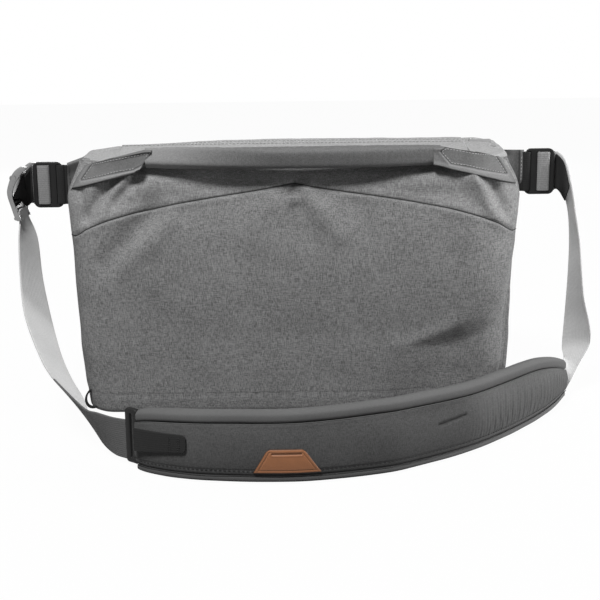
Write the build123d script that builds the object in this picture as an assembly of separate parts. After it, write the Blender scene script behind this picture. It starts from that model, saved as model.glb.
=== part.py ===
from build123d import *
import os

# Camera sling bag, millimetres. The bag stands on its base: the origin is the centre of the base, -Y is the
# front with the grab handle, +X is the wearer's right hand side of the photograph, +Z is up.

# ------------------------------------------------------------------ body envelope
BASE_HALF_WIDTH = 208.0
BASE_HALF_DEPTH = 66.0
LOW_STATION_Z = 60.0
LOW_HALF_WIDTH = 217.0
LOW_HALF_DEPTH = 73.0
BELLY_STATION_Z = 130.0
BELLY_HALF_WIDTH = 221.0
BELLY_HALF_DEPTH = 76.0
WAIST_STATION_Z = 175.0
WAIST_HALF_WIDTH = 223.0
WAIST_HALF_DEPTH = 73.0
CHEST_STATION_Z = 205.0
CHEST_HALF_WIDTH = 227.0
CHEST_HALF_DEPTH = 68.0
TOP_STATION_Z = 270.0
TOP_HALF_WIDTH = 229.0
TOP_HALF_DEPTH = 57.0
CORNER_RADIUS = 30.0
BASE_EDGE_RADIUS = 20.0
SHOULDER_LOW_X = 228.0
SHOULDER_LOW_Z = 214.0
SHOULDER_TOP_X = 205.0
SHOULDER_TOP_Z = 257.0

# ------------------------------------------------------------------ walls, seams and lining
SKIN = 2.0
FOAM = 8.0
LINING = 0.8
RIM_Z = 248.6
BASE_SEAM_Z = 20.0
SIDE_SEAM_Y = 45.0
INNER_RIM_DROP = 3.0
CHEVRON_APEX_Z = 225.0
CHEVRON_MID_X = 85.0
CHEVRON_MID_Z = 212.0
CHEVRON_OUTER_X = 164.0
CHEVRON_OUTER_Z = 194.5
CHEVRON_END_X = 219.0
CHEVRON_END_Z = 173.5

# ------------------------------------------------------------------ top flaps and end caps
FLAP_HALF_LENGTH = 170.0
FLAP_THICKNESS = 2.4
FLAP_END_GAP = 0.6
FLAP_HINGE_Y = 56.0
FLAP_BEAD_RADIUS = 1.6
RIM_TO_BEAD_GAP = 0.6
LIP_TOP_Z = 259.8
RIDGE_Y = 15.0
RIDGE_Z = 262.0
CAP_SKIN = 2.4

# ------------------------------------------------------------------ zipper
SLIT_Y = -4.0
SLIT_WIDTH = 4.4
CHAIN_GAP = 1.4
TOOTH_WIDTH = 1.6
TOOTH_HEIGHT = 1.6
TOOTH_PITCH = 3.0
TOOTH_SHARE = 0.6
TOOTH_BACKBONE = 0.5
TAPE_THICKNESS = 0.8
TAPE_TOP_Z = 254.8
TAPE_WIDTH = 10.5
TAPE_HEM = 4.0
SLIDER_LENGTH = 12.0
SLIDER_WIDTH = 9.0
SLIDER_PLATE = 1.2
SLIDER_PLAY = 0.3
SLIDER_UNDER_PLAY = 0.5
SLIDER_POST_LENGTH = 8.0
SLIDER_POST_PLAY = 0.2
SLIDER_PARK_X = 178.0
EAR_THICKNESS = 0.7
EAR_LENGTH = 5.0
EAR_HEIGHT = 4.3
PULLER_THICKNESS = 1.6
PULLER_EAR_PLAY = 0.2
PULLER_LENGTH = 20.0
PULLER_HEIGHT = 4.0
PULLER_PLATE_PLAY = 0.5
PULLER_PIN_RADIUS = 0.6
PULLER_HOLE_PLAY = 0.1
GARAGE_CLEARANCE = 2.0

# ------------------------------------------------------------------ grab handle and its patches
HANDLE_HALF_LENGTH = 139.0
HANDLE_END_Y = -73.0
HANDLE_BOW = 11.0
HANDLE_Z = 252.2
HANDLE_DEPTH = 17.0
HANDLE_HEIGHT = 20.0
HANDLE_CORNER = 6.0
HANDLE_CORE_RADIUS = 5.5
HANDLE_CORE_SETBACK = 2.0
HANDLE_END_GAP = 0.5
PATCH_THICKNESS = 3.0
PATCH_TOP_Z = 247.5
PATCH_TIP_X = 215.0
PATCH_TIP_Z = 222.0
PATCH_SHOULDER_X = 199.0
PATCH_SHOULDER_Z = 244.0
PATCH_HEM_X = 173.0
PATCH_HEM_Z = 231.5
PATCH_INNER_Z = 238.0
NECK_LENGTH = 40.0
NECK_DEPTH = 12.0
NECK_ROOT_DEPTH = 3.4
NECK_ROOT_HEIGHT = 10.0
NECK_ROOT_Z = 241.0

# ------------------------------------------------------------------ interior
SLEEVE_FRONT_Y = 36.0
SLEEVE_THICKNESS = 4.0
SLEEVE_TOP_Z = 225.0
POCKET_HALF_WIDTH = 150.0
POCKET_TOP_Z = 150.0
POCKET_BACK_Y = -49.0
POCKET_WALL = 1.2
POCKET_DEPTH = 3.0
POCKET_SIDE = 4.0
DIVIDER_X = 70.0
DIVIDER_THICKNESS = 8.0
DIVIDER_TOP_Z = 178.0
DIVIDER_PLAY = 0.6
DIVIDER_FLAP_THICKNESS = 6.0
DIVIDER_FLAP_LENGTH = 57.4
DIVIDER_FLAP_GAP = 0.6
DIVIDER_FLAP_SETBACK = 0.5
DIVIDER_FLAP_FRONT_Y = -48.0

# ------------------------------------------------------------------ side tabs, frames and straps
ANCHOR_Z_LEFT = 219.7
ANCHOR_Z_RIGHT = 227.3
TAB_HEIGHT = 44.0
TAB_END_X = 227.8
TAB_ROOT_X = 196.0
TAB_SHOULDER_X = 203.0
TAB_SHOULDER_Z = 257.0
TAB_ROOT_HALF_DEPTH = 18.0
TAB_NOSE_X = 222.0
STRAP_JOINT_GAP = 0.3
WEB_WIDTH = 38.0
WEB_THICKNESS = 1.6
FRAME_START_X = 232.7
FRAME_WIDTH = 30.0
FRAME_HEIGHT = 46.0
FRAME_THICKNESS = 4.5
FRAME_CORNER = 6.0
FRAME_INNER_BAR = 3.2
FRAME_SLOT = 2.8
FRAME_MIDDLE_BAR = 6.5
FRAME_WEB_BAR = 7.5
FRAME_SLOT_HEIGHT = 39.5
WRAP_PLAY = 0.2
WRAP_TAIL_END_X = 264.0
STRAP_THICKNESS = 1.8
KEEPER_THICKNESS = 0.9
KEEPER_GAP = 0.3

# Edges of the webbing as it hangs: each pair is the inner edge and the outer edge at one place.
RIGHT_WEB_EDGES = [
    ((272, 4, 204), (273, -6, 238)),
    ((278, 8, 196), (276, -21, 216)),
    ((283, 15, 178), (281, -20, 189)),
    ((285, 17, 152), (287, -18, 158)),
    ((285, 17, 126), (290, -18, 130)),
    ((284, 17, 98), (294, -17, 100)),
    ((282, 16, 66), (302, -14, 69)),
    ((280, 12, 42), (304, -12, 49)),
    ((278, -4, 35), (298, -20, 20)),
    ((275, -18, 36), (284, -28, 3)),
    ((273, -26, 36), (273.5, -27, 1)),
]
LEFT_ANCHOR_EDGES = [
    ((-271, 5, 198), (-271, -8, 232)),
    ((-275, 11, 198), (-275, -16, 220)),
    ((-281.3, 16, 204), (-281.3, -16, 208)),
]
LEFT_WEB_EDGES = [
    ((-274.3, 19, 197), (-274.3, -19, 197)),
    ((-274.3, 19, 186), (-274.3, -19, 186)),
    ((-263, 4, 165), (-274, -31, 166)),
    ((-253, -28, 130), (-268, -60, 132)),
    ((-240, -62, 99), (-258, -93, 106)),
    ((-225, -96, 69), (-241, -126, 81)),
]
LEFT_TAIL_EDGES = [
    ((-209, -123, 52), (-224, -153, 64)),
    ((-196, -146, 38), (-208, -176, 55)),
    ((-185, -168, 23), (-192, -192, 49)),
    ((-172, -190, 11), (-174, -205, 44)),
    ((-159, -207, 6), (-160, -212, 42)),
    ((-148, -218, 6), (-148, -218.5, 42)),
]
LEFT_KEEPER_COUNT = 3
RIGHT_KEEPER_COUNT = 4

# ------------------------------------------------------------------ quick adjuster
BOW_TOP = (-270.0, 238.0)
BOW_OUTER = (-290.0, 212.0)
BOW_BOTTOM = (-275.5, 183.5)
BOW_INNER_TOP = (-267.5, 234.5)
BOW_INNER = (-282.5, 209.0)
BOW_INNER_BOTTOM = (-273.0, 187.0)
CHEEK_GAP = 40.8
CHEEK_THICKNESS = 2.4
ADJUSTER_PIN_X = -278.0
ADJUSTER_PIN_Z = 229.0
ADJUSTER_PIN_RADIUS = 1.6
PIN_RUNNING_PLAY = 0.1
SCREW_HEAD_RADIUS = 3.1
SCREW_HEAD_HEIGHT = 0.9
SCREW_SOCKET = 2.2
SCREW_SOCKET_DEPTH = 0.6
WEB_BAR_X = -284.3
WEB_BAR_Z = 204.0
WEB_BAR_RADIUS = 1.6
FOOT_BAR_X = -277.6
FOOT_BAR_Z = 188.5
FOOT_BAR_RADIUS = 2.0
LEVER_SETBACK = 0.5
LEVER_THICKNESS = 2.2
LEVER_SIDE_PLAY = 0.4
LEVER_KNUCKLE_RADIUS = 3.4
LEVER_LOW_Z = 192.5

# ------------------------------------------------------------------ shoulder pad, standing on its long edge
PAD_FRONT_CROWN = 9.0
PAD_BACK_CROWN = 8.0
PAD_EDGE_HALF = 6.0
PAD_END_SHARE = 0.5
PAD_COVER = 1.3
PAD_TOP_BORDER = 11.0
PAD_LOW_BORDER = 7.0
PAD_TOP_ROUND = 4.8
PAD_LOW_ROUND = 2.5
PAD_LAYER_GAP = 0.2
PAD_SECTIONS = 27
# centre line on the floor, height of the top edge and how full the cushion is there
PAD_STATIONS = [
    (-134, -229, 52, 0.6),
    (-122, -238.5, 56, 0.8),
    (-98, -249.5, 58.5, 1.0),
    (-64, -257.5, 60, 1.0),
    (3, -261, 61, 1.0),
    (68, -246, 63, 1.0),
    (102, -228.5, 63, 1.0),
    (148, -196, 62, 1.0),
    (188, -156, 62, 1.0),
    (223, -113, 60, 1.0),
    (250, -72, 51, 0.8),
    (271, -31, 37, 0.5),
]
LEATHER_THICKNESS = 1.4
LEATHER_LEFT_X = -35.0
LEATHER_RIGHT_X = 20.0
LEATHER_TOP_LEFT_X = -23.0
LEATHER_TOP_RIGHT_X = 6.0
LEATHER_LOW_Z = 9.5
LEATHER_TOP_Z = 31.0
LEATHER_CORNER = 3.5
RING_WIDTH = 14.0
RING_HEIGHT = 48.0
RING_THICKNESS = 4.0
RING_BAR = 3.4
RING_GAP = 1.0
RING_LOOP_THICKNESS = 1.0
RING_LOOP_HEIGHT = 36.0
RING_BASE_Z = 5.0
PULL_TAB_LENGTH = 46.0
PULL_TAB_HEIGHT = 22.0
PULL_TAB_THICKNESS = 1.6
PULL_TAB_ROOT = (-137.5, -241.5)
PULL_TAB_TIP = (-93.0, -265.5)
PULL_TAB_Z = 32.5

# ------------------------------------------------------------------ accessory loops at the base corners
CORNER_LOOP_X = 201.0
CORNER_LOOP_Y = -52.0
CORNER_LOOP_Z = 13.0
CORNER_LOOP_RADIUS = 11.5
CORNER_LOOP_THICKNESS = 1.6
CORNER_LOOP_WIDTH = 10.0

FAR = 400.0


# ================================================================== helpers
def slab(x_low, x_high, y_low, y_high, z_low, z_high):
    """An axis-aligned block between two corners."""
    size = (x_high - x_low, y_high - y_low, z_high - z_low)
    centre = ((x_low + x_high) / 2, (y_low + y_high) / 2, (z_low + z_high) / 2)
    return Pos(*centre) * Box(*size)


def single(shape):
    """The one solid that a boolean operation leaves."""
    solids = shape.solids()
    if len(solids) != 1:
        raise ValueError(f"expected one solid, found {len(solids)}")
    return solids[0]


def front_prism(points, y_low, y_high):
    """A polygon of (x, z) points, extruded between two depths."""
    outline = Plane.XZ * make_face(Polyline(*points, close=True))
    return Pos(0, y_high, 0) * extrude(outline, amount=y_high - y_low)


def side_prism(points, x_low, x_high):
    """A polygon of (y, z) points, extruded between two widths."""
    outline = Plane.YZ * make_face(Polyline(*points, close=True))
    return Pos(x_low, 0, 0) * extrude(outline, amount=x_high - x_low)


def plan_prism(points, z_low, z_high):
    """A polygon of (x, y) points, extruded between two heights."""
    outline = make_face(Polyline(*points, close=True))
    return Pos(0, 0, z_low) * extrude(outline, amount=z_high - z_low)


def cross_rod(x, z, radius, half_length):
    """A round rod along Y, centred on the XZ plane."""
    return Pos(x, 0, z) * Rot(90, 0, 0) * Cylinder(radius, 2 * half_length)


def mirrored(points):
    """Points of an outline moved to the other side of the YZ plane."""
    return [(-x, other) for x, other in points]


# ================================================================== body envelope
BODY_STATIONS = [
    (0.0, BASE_HALF_WIDTH, BASE_HALF_DEPTH),
    (LOW_STATION_Z, LOW_HALF_WIDTH, LOW_HALF_DEPTH),
    (BELLY_STATION_Z, BELLY_HALF_WIDTH, BELLY_HALF_DEPTH),
    (WAIST_STATION_Z, WAIST_HALF_WIDTH, WAIST_HALF_DEPTH),
    (CHEST_STATION_Z, CHEST_HALF_WIDTH, CHEST_HALF_DEPTH),
    (TOP_STATION_Z, TOP_HALF_WIDTH, TOP_HALF_DEPTH),
]


def half_sizes(z):
    """Half the width and half the depth of the outside at a height."""
    for low, high in zip(BODY_STATIONS, BODY_STATIONS[1:]):
        if z <= high[0]:
            share = (z - low[0]) / (high[0] - low[0])
            return low[1] + share * (high[1] - low[1]), low[2] + share * (high[2] - low[2])
    return BODY_STATIONS[-1][1:]


def half_depth(z):
    """Half the depth of the outside at a height."""
    return half_sizes(z)[1]


def shoulder_prism(inset):
    """The sloping shoulders and the top limit, seen from the front."""
    slope = (SHOULDER_TOP_Z - SHOULDER_LOW_Z) / (SHOULDER_TOP_X - SHOULDER_LOW_X)
    foot_z = SHOULDER_LOW_Z + slope * (FAR - SHOULDER_LOW_X)
    peak_x = SHOULDER_TOP_X + (FAR - SHOULDER_TOP_Z) / slope
    points = [(-FAR, foot_z), (FAR, foot_z), (peak_x, FAR), (-peak_x, FAR)]
    outline = make_face(Polyline(*points, close=True))
    outline = offset(outline, amount=-inset, kind=Kind.INTERSECTION) if inset else outline
    return Pos(0, FAR / 2, 0) * extrude(Plane.XZ * outline, amount=FAR)


def envelope(inset):
    """The outside shape of the body, drawn in by an inset; a negative one is proud of it."""
    sections = []
    for height in [inset] + [station[0] for station in BODY_STATIONS[1:]]:
        half_width, depth = half_sizes(height)
        width = 2 * (half_width - inset)
        outline = RectangleRounded(width, 2 * (depth - inset), CORNER_RADIUS - inset)
        sections.append(Pos(0, 0, height) * outline)
    body = loft(sections, ruled=True)
    bottom_edges = body.edges().group_by(Axis.Z)[0]
    body = fillet(bottom_edges, BASE_EDGE_RADIUS - inset)
    return single(body & shoulder_prism(inset))


OUTSIDE = envelope(0.0)
SKIN_INSIDE = envelope(SKIN)
FOAM_INSIDE = envelope(SKIN + FOAM)
CABIN = envelope(SKIN + FOAM + LINING)
CABIN_FLOOR_Z = SKIN + FOAM + LINING
INNER_RIM_Z = RIM_Z - INNER_RIM_DROP


def wall_regions(z_low, z_high):
    """Blocks that part a shell into its front, back, left and right walls."""
    return {
        "front": slab(-FAR, FAR, -FAR, -SIDE_SEAM_Y, z_low, z_high),
        "back": slab(-FAR, FAR, SIDE_SEAM_Y, FAR, z_low, z_high),
        "left": slab(-FAR, 0, -SIDE_SEAM_Y, SIDE_SEAM_Y, z_low, z_high),
        "right": slab(0, FAR, -SIDE_SEAM_Y, SIDE_SEAM_Y, z_low, z_high),
    }


def chevron_prism():
    """Everything above the chevron seam of the front."""
    rise = [
        (CHEVRON_MID_X, CHEVRON_MID_Z),
        (CHEVRON_OUTER_X, CHEVRON_OUTER_Z),
        (CHEVRON_END_X, CHEVRON_END_Z),
        (FAR, CHEVRON_END_Z - (FAR - CHEVRON_END_X) / 2),
        (FAR, FAR),
    ]
    points = [(0, CHEVRON_APEX_Z)] + rise + mirrored(rise)[::-1]
    return front_prism(points, -FAR, 0)


def outer_panels():
    """The sewn fabric panels of the outside."""
    shell = OUTSIDE - SKIN_INSIDE
    panels = {"base_panel": single(shell & slab(-FAR, FAR, -FAR, FAR, -1, BASE_SEAM_Z))}
    walls = wall_regions(BASE_SEAM_Z, RIM_Z)
    front = shell & walls["front"]
    panels["front_yoke"] = single(front & chevron_prism())
    panels["front_panel"] = single(front - chevron_prism())
    panels["back_panel"] = single(shell & walls["back"])
    panels["left_side_panel"] = single(shell & walls["left"])
    panels["right_side_panel"] = single(shell & walls["right"])
    return panels


def foam_boards():
    """The padding between the outside and the lining."""
    layer = SKIN_INSIDE - FOAM_INSIDE
    boards = {"base_foam": single(layer & slab(-FAR, FAR, -FAR, FAR, -1, BASE_SEAM_Z))}
    for side, region in wall_regions(BASE_SEAM_Z, INNER_RIM_Z).items():
        boards[f"{side}_foam"] = single(layer & region)
    return boards


def interior_lining():
    """One tub of lining fabric over the padding."""
    return single((FOAM_INSIDE - CABIN) & slab(-FAR, FAR, -FAR, FAR, -1, INNER_RIM_Z))


def rear_sleeve():
    """The padded wall of the tablet sleeve, sewn to the lining all round."""
    back_y = SLEEVE_FRONT_Y + SLEEVE_THICKNESS
    return single(CABIN & slab(-FAR, FAR, SLEEVE_FRONT_Y, back_y, -1, SLEEVE_TOP_Z))


def front_pocket():
    """A flat organiser pocket sewn to the front lining on three sides."""
    width = POCKET_HALF_WIDTH
    outer = CABIN & slab(-width, width, -FAR, POCKET_BACK_Y, CABIN_FLOOR_Z, POCKET_TOP_Z)
    inset = CABIN_FLOOR_Z + POCKET_DEPTH + POCKET_WALL
    block = outer - envelope(inset)
    inner_width = width - POCKET_SIDE
    gap_floor = CABIN_FLOOR_Z + POCKET_DEPTH + 2 * POCKET_WALL
    gap = slab(-inner_width, inner_width, -FAR, FAR, gap_floor, POCKET_TOP_Z + 1)
    hollow = (CABIN - envelope(inset - POCKET_WALL)) & gap
    return single(block - hollow)


# ================================================================== top flaps and caps
HINGE_Z = RIM_Z + RIM_TO_BEAD_GAP + FLAP_BEAD_RADIUS
FLAP_OUTER_TOP_Z = HINGE_Z + FLAP_BEAD_RADIUS
FLAP_OUTER_LOW_Z = HINGE_Z - FLAP_BEAD_RADIUS
LIP_LOW_Z = LIP_TOP_Z - FLAP_THICKNESS
FRONT_LIP_Y = SLIT_Y - SLIT_WIDTH / 2
REAR_LIP_Y = SLIT_Y + SLIT_WIDTH / 2


def front_flap_underside(y):
    """Height of the front flap's underside at a depth."""
    share = (y + FLAP_HINGE_Y) / (FRONT_LIP_Y + FLAP_HINGE_Y)
    return FLAP_OUTER_LOW_Z + share * (LIP_LOW_Z - FLAP_OUTER_LOW_Z)


def rear_flap_underside(y):
    """Height of the rear flap's underside between its lip and the ridge."""
    share = (y - REAR_LIP_Y) / (RIDGE_Y - REAR_LIP_Y)
    return LIP_LOW_Z + share * (RIDGE_Z - FLAP_THICKNESS - LIP_LOW_Z)


def flap(points, hinge_y):
    """A flap of the top with a rounded bead along its hinge."""
    length = FLAP_HALF_LENGTH
    panel = side_prism(points, -length, length)
    bead = Pos(0, hinge_y, HINGE_Z) * Rot(0, 90, 0) * Cylinder(FLAP_BEAD_RADIUS, 2 * length)
    return single(panel + bead)


def front_flap():
    points = [
        (-FLAP_HINGE_Y, FLAP_OUTER_TOP_Z),
        (FRONT_LIP_Y, LIP_TOP_Z),
        (FRONT_LIP_Y, LIP_LOW_Z),
        (-FLAP_HINGE_Y, FLAP_OUTER_LOW_Z),
    ]
    return flap(points, -FLAP_HINGE_Y)


def rear_flap():
    points = [
        (REAR_LIP_Y, LIP_TOP_Z),
        (RIDGE_Y, RIDGE_Z),
        (FLAP_HINGE_Y, FLAP_OUTER_TOP_Z),
        (FLAP_HINGE_Y, FLAP_OUTER_LOW_Z),
        (RIDGE_Y, RIDGE_Z - FLAP_THICKNESS),
        (REAR_LIP_Y, LIP_LOW_Z),
    ]
    return flap(points, FLAP_HINGE_Y)


def crown_points(drop, floor_z):
    """The outline of the closed top from the side, lowered by a drop."""
    edge_y = half_depth(RIM_Z) - drop
    outline = [
        (-edge_y, floor_z),
        (-edge_y, RIM_Z),
        (-FLAP_HINGE_Y, FLAP_OUTER_TOP_Z - drop),
        (FRONT_LIP_Y, LIP_TOP_Z - drop),
        (REAR_LIP_Y, LIP_TOP_Z - drop),
        (RIDGE_Y, RIDGE_Z - drop),
        (FLAP_HINGE_Y, FLAP_OUTER_TOP_Z - drop),
        (edge_y, RIM_Z),
        (edge_y, floor_z),
    ]
    return outline


def top_end(side):
    """The fixed cap at one end of the top, with the slit that takes the parked slider's puller."""
    start_x = FLAP_HALF_LENGTH + FLAP_END_GAP
    outer = side_prism(crown_points(0.0, RIM_Z - 1), start_x, FAR / 2 + start_x) & OUTSIDE
    inner = side_prism(crown_points(CAP_SKIN, RIM_Z - 2), start_x - 1, FAR / 2 + start_x) & envelope(CAP_SKIN)
    cap = (outer - inner) & slab(0, FAR, -FAR, FAR, RIM_Z, FAR)
    slit_end_x = SLIDER_PARK_X + PULLER_LENGTH + GARAGE_CLEARANCE
    slit = slab(start_x - 1, slit_end_x, FRONT_LIP_Y, REAR_LIP_Y, RIM_Z, FAR)
    cap = single(cap - slit)
    return cap if side > 0 else cap.mirror(Plane.YZ)


# ================================================================== zipper
TAPE_LOW_Z = TAPE_TOP_Z - TAPE_THICKNESS


def zip_tape(side):
    """A tape with its outer hem sewn under the flap; side -1 is the front one."""
    underside = front_flap_underside if side < 0 else rear_flap_underside
    chain_edge = SLIT_Y + side * (CHAIN_GAP / 2 + TOOTH_WIDTH / 2)
    hem_inner = SLIT_Y + side * (TAPE_WIDTH + CHAIN_GAP - TAPE_HEM)
    hem_outer = hem_inner + side * TAPE_HEM
    points = [
        (chain_edge, TAPE_LOW_Z),
        (chain_edge, TAPE_TOP_Z),
        (hem_inner, TAPE_TOP_Z),
        (hem_inner, underside(hem_inner)),
        (hem_outer, underside(hem_outer)),
        (hem_outer, TAPE_LOW_Z),
    ]
    return side_prism(points, -FLAP_HALF_LENGTH, FLAP_HALF_LENGTH)


def zip_teeth(side):
    """A row of teeth under its tape: a comb along X, all teeth on one backbone."""
    inner_y = SLIT_Y + side * CHAIN_GAP / 2
    outer_y = inner_y + side * TOOTH_WIDTH
    root_y = outer_y - side * TOOTH_BACKBONE
    count = int(2 * FLAP_HALF_LENGTH / TOOTH_PITCH)
    start_x = -count * TOOTH_PITCH / 2
    tooth = TOOTH_PITCH * TOOTH_SHARE
    points = [(start_x, outer_y)]
    for index in range(count):
        x = start_x + index * TOOTH_PITCH
        points += [(x, inner_y), (x + tooth, inner_y), (x + tooth, root_y), (x + TOOTH_PITCH, root_y)]
    points.append((start_x + count * TOOTH_PITCH, outer_y))
    return plan_prism(points, TAPE_LOW_Z - TOOTH_HEIGHT, TAPE_LOW_Z)


PLATE_LOW_Z = TAPE_TOP_Z + SLIDER_PLAY
PLATE_TOP_Z = PLATE_LOW_Z + SLIDER_PLATE
UNDER_TOP_Z = TAPE_LOW_Z - TOOTH_HEIGHT - SLIDER_UNDER_PLAY
PULLER_PIN_Z = PLATE_TOP_Z + PULLER_PLATE_PLAY + PULLER_HEIGHT / 2
EAR_INNER = PULLER_THICKNESS / 2 + PULLER_EAR_PLAY


def zip_slider():
    """Two plates over and under the chain, joined by a post, with ears and a pin for the puller."""
    half_length = SLIDER_LENGTH / 2
    half_width = SLIDER_WIDTH / 2
    low_x = SLIDER_PARK_X - half_length
    high_x = SLIDER_PARK_X + half_length
    low_y = SLIT_Y - half_width
    high_y = SLIT_Y + half_width
    upper = slab(low_x, high_x, low_y, high_y, PLATE_LOW_Z, PLATE_TOP_Z)
    under = slab(low_x, high_x, low_y, high_y, UNDER_TOP_Z - SLIDER_PLATE, UNDER_TOP_Z)
    post_half = CHAIN_GAP / 2 - SLIDER_POST_PLAY
    post_x = SLIDER_POST_LENGTH / 2
    post = slab(SLIDER_PARK_X - post_x, SLIDER_PARK_X + post_x, SLIT_Y - post_half, SLIT_Y + post_half,
                UNDER_TOP_Z, PLATE_LOW_Z)
    slider = upper + under + post
    for side in (-1, 1):
        near = SLIT_Y + side * EAR_INNER
        far = near + side * EAR_THICKNESS
        slider += slab(SLIDER_PARK_X - EAR_LENGTH / 2, SLIDER_PARK_X + EAR_LENGTH / 2, min(near, far),
                       max(near, far), PLATE_TOP_Z, PLATE_TOP_Z + EAR_HEIGHT)
    pin_length = 2 * (EAR_INNER + EAR_THICKNESS)
    slider += Pos(SLIDER_PARK_X, SLIT_Y, PULLER_PIN_Z) * Rot(90, 0, 0) * Cylinder(PULLER_PIN_RADIUS, pin_length)
    return single(slider)


def zip_puller():
    """A flat blade on the slider's pin, lying in the slit."""
    half_height = PULLER_HEIGHT / 2
    tip_x = SLIDER_PARK_X + PULLER_LENGTH
    blade = slab(SLIDER_PARK_X, tip_x - half_height, SLIT_Y - PULLER_THICKNESS / 2,
                 SLIT_Y + PULLER_THICKNESS / 2, PULLER_PIN_Z - half_height, PULLER_PIN_Z + half_height)
    for x in (SLIDER_PARK_X, tip_x - half_height):
        blade += Pos(x, SLIT_Y, PULLER_PIN_Z) * Rot(90, 0, 0) * Cylinder(half_height, PULLER_THICKNESS)
    hole_radius = PULLER_PIN_RADIUS + PULLER_HOLE_PLAY
    hole = Pos(SLIDER_PARK_X, SLIT_Y, PULLER_PIN_Z) * Rot(90, 0, 0) * Cylinder(hole_radius, 4 * PULLER_THICKNESS)
    return single(blade - hole)


# ================================================================== grab handle
def handle_sweep(outline, half_length):
    """An outline swept along the bowed line of the handle and cut off square to X."""
    reach = HANDLE_HALF_LENGTH + 5
    end_y = HANDLE_END_Y + HANDLE_BOW * ((reach / HANDLE_HALF_LENGTH) ** 2 - 1)
    middle = (0, HANDLE_END_Y - HANDLE_BOW, HANDLE_Z)
    path = ThreePointArc((-reach, end_y, HANDLE_Z), middle, (reach, end_y, HANDLE_Z))
    start = Plane(origin=path @ 0, z_dir=path % 0, x_dir=(0, 0, 1))
    bar = sweep(start * outline, path=path)
    return bar & slab(-half_length, half_length, -FAR, FAR, -FAR, FAR)


def handle_core():
    """The soft cord inside the handle."""
    return single(handle_sweep(Circle(HANDLE_CORE_RADIUS), HANDLE_HALF_LENGTH - HANDLE_CORE_SETBACK))


def handle_cover():
    """The padded fabric tube of the handle."""
    outline = RectangleRounded(HANDLE_HEIGHT, HANDLE_DEPTH, HANDLE_CORNER)
    tube = handle_sweep(outline, HANDLE_HALF_LENGTH)
    bore = handle_sweep(Circle(HANDLE_CORE_RADIUS), HANDLE_HALF_LENGTH - HANDLE_CORE_SETBACK)
    return single(tube - bore)


def handle_patch(side):
    """The padded patch that carries one end of the handle, sewn to the yoke."""
    inner_x = HANDLE_HALF_LENGTH + HANDLE_END_GAP
    outline = [
        (PATCH_TIP_X, PATCH_TIP_Z),
        (PATCH_SHOULDER_X, PATCH_SHOULDER_Z),
        (PATCH_SHOULDER_X - PATCH_THICKNESS, PATCH_TOP_Z),
        (inner_x, PATCH_TOP_Z),
        (inner_x, PATCH_INNER_Z),
        (PATCH_HEM_X, PATCH_HEM_Z),
    ]
    layer = envelope(-PATCH_THICKNESS) - OUTSIDE
    plate = layer & front_prism(outline, -FAR, -CORNER_RADIUS)
    root_x = inner_x + NECK_LENGTH
    root_y = -half_depth(NECK_ROOT_Z) - NECK_ROOT_DEPTH / 2
    end_plane = Plane(origin=(inner_x, HANDLE_END_Y, HANDLE_Z), z_dir=(1, 0, 0), x_dir=(0, 1, 0))
    root_plane = Plane(origin=(root_x, root_y, NECK_ROOT_Z), z_dir=(1, 0, 0), x_dir=(0, 1, 0))
    end_section = end_plane * RectangleRounded(NECK_DEPTH, HANDLE_HEIGHT - 1, NECK_DEPTH / 4)
    root_section = root_plane * RectangleRounded(NECK_ROOT_DEPTH, NECK_ROOT_HEIGHT, NECK_ROOT_DEPTH / 4)
    neck = loft([end_section, root_section], ruled=True) - OUTSIDE
    patch = single(plate + neck)
    return patch if side > 0 else patch.mirror(Plane.YZ)


# ================================================================== dividers
def divider(side):
    """A padded board across the cabin, following the bulge of the front wall."""
    back_y = SLEEVE_FRONT_Y - DIVIDER_PLAY
    low_z = CABIN_FLOOR_Z + DIVIDER_PLAY
    front_inset = CABIN_FLOOR_Z + POCKET_DEPTH + POCKET_WALL + DIVIDER_PLAY
    heights = [low_z + BASE_EDGE_RADIUS, LOW_STATION_Z, BELLY_STATION_Z, WAIST_STATION_Z, DIVIDER_TOP_Z]
    front = [(front_inset - half_depth(z), z) for z in heights]
    front.insert(0, (front_inset + BASE_EDGE_RADIUS / 2 - half_depth(low_z), low_z))
    profile = [(back_y, low_z)] + front + [(back_y, DIVIDER_TOP_Z)]
    board = side_prism(profile, DIVIDER_X - DIVIDER_THICKNESS / 2, DIVIDER_X + DIVIDER_THICKNESS / 2)
    return board if side > 0 else board.mirror(Plane.YZ)


def divider_flap(side):
    """The top of a divider, which folds outwards over its bay."""
    outer_x = DIVIDER_X + DIVIDER_THICKNESS / 2 - DIVIDER_FLAP_SETBACK
    inner_x = outer_x - DIVIDER_FLAP_THICKNESS
    low_z = DIVIDER_TOP_Z + DIVIDER_FLAP_GAP
    back_y = SLEEVE_FRONT_Y - DIVIDER_PLAY
    board = slab(inner_x, outer_x, DIVIDER_FLAP_FRONT_Y, back_y, low_z, low_z + DIVIDER_FLAP_LENGTH)
    return board if side > 0 else board.mirror(Plane.YZ)


# ================================================================== side tabs and frames
def anchor_z(side):
    """Height of the strap's anchor on one side."""
    return ANCHOR_Z_RIGHT if side > 0 else ANCHOR_Z_LEFT


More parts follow.
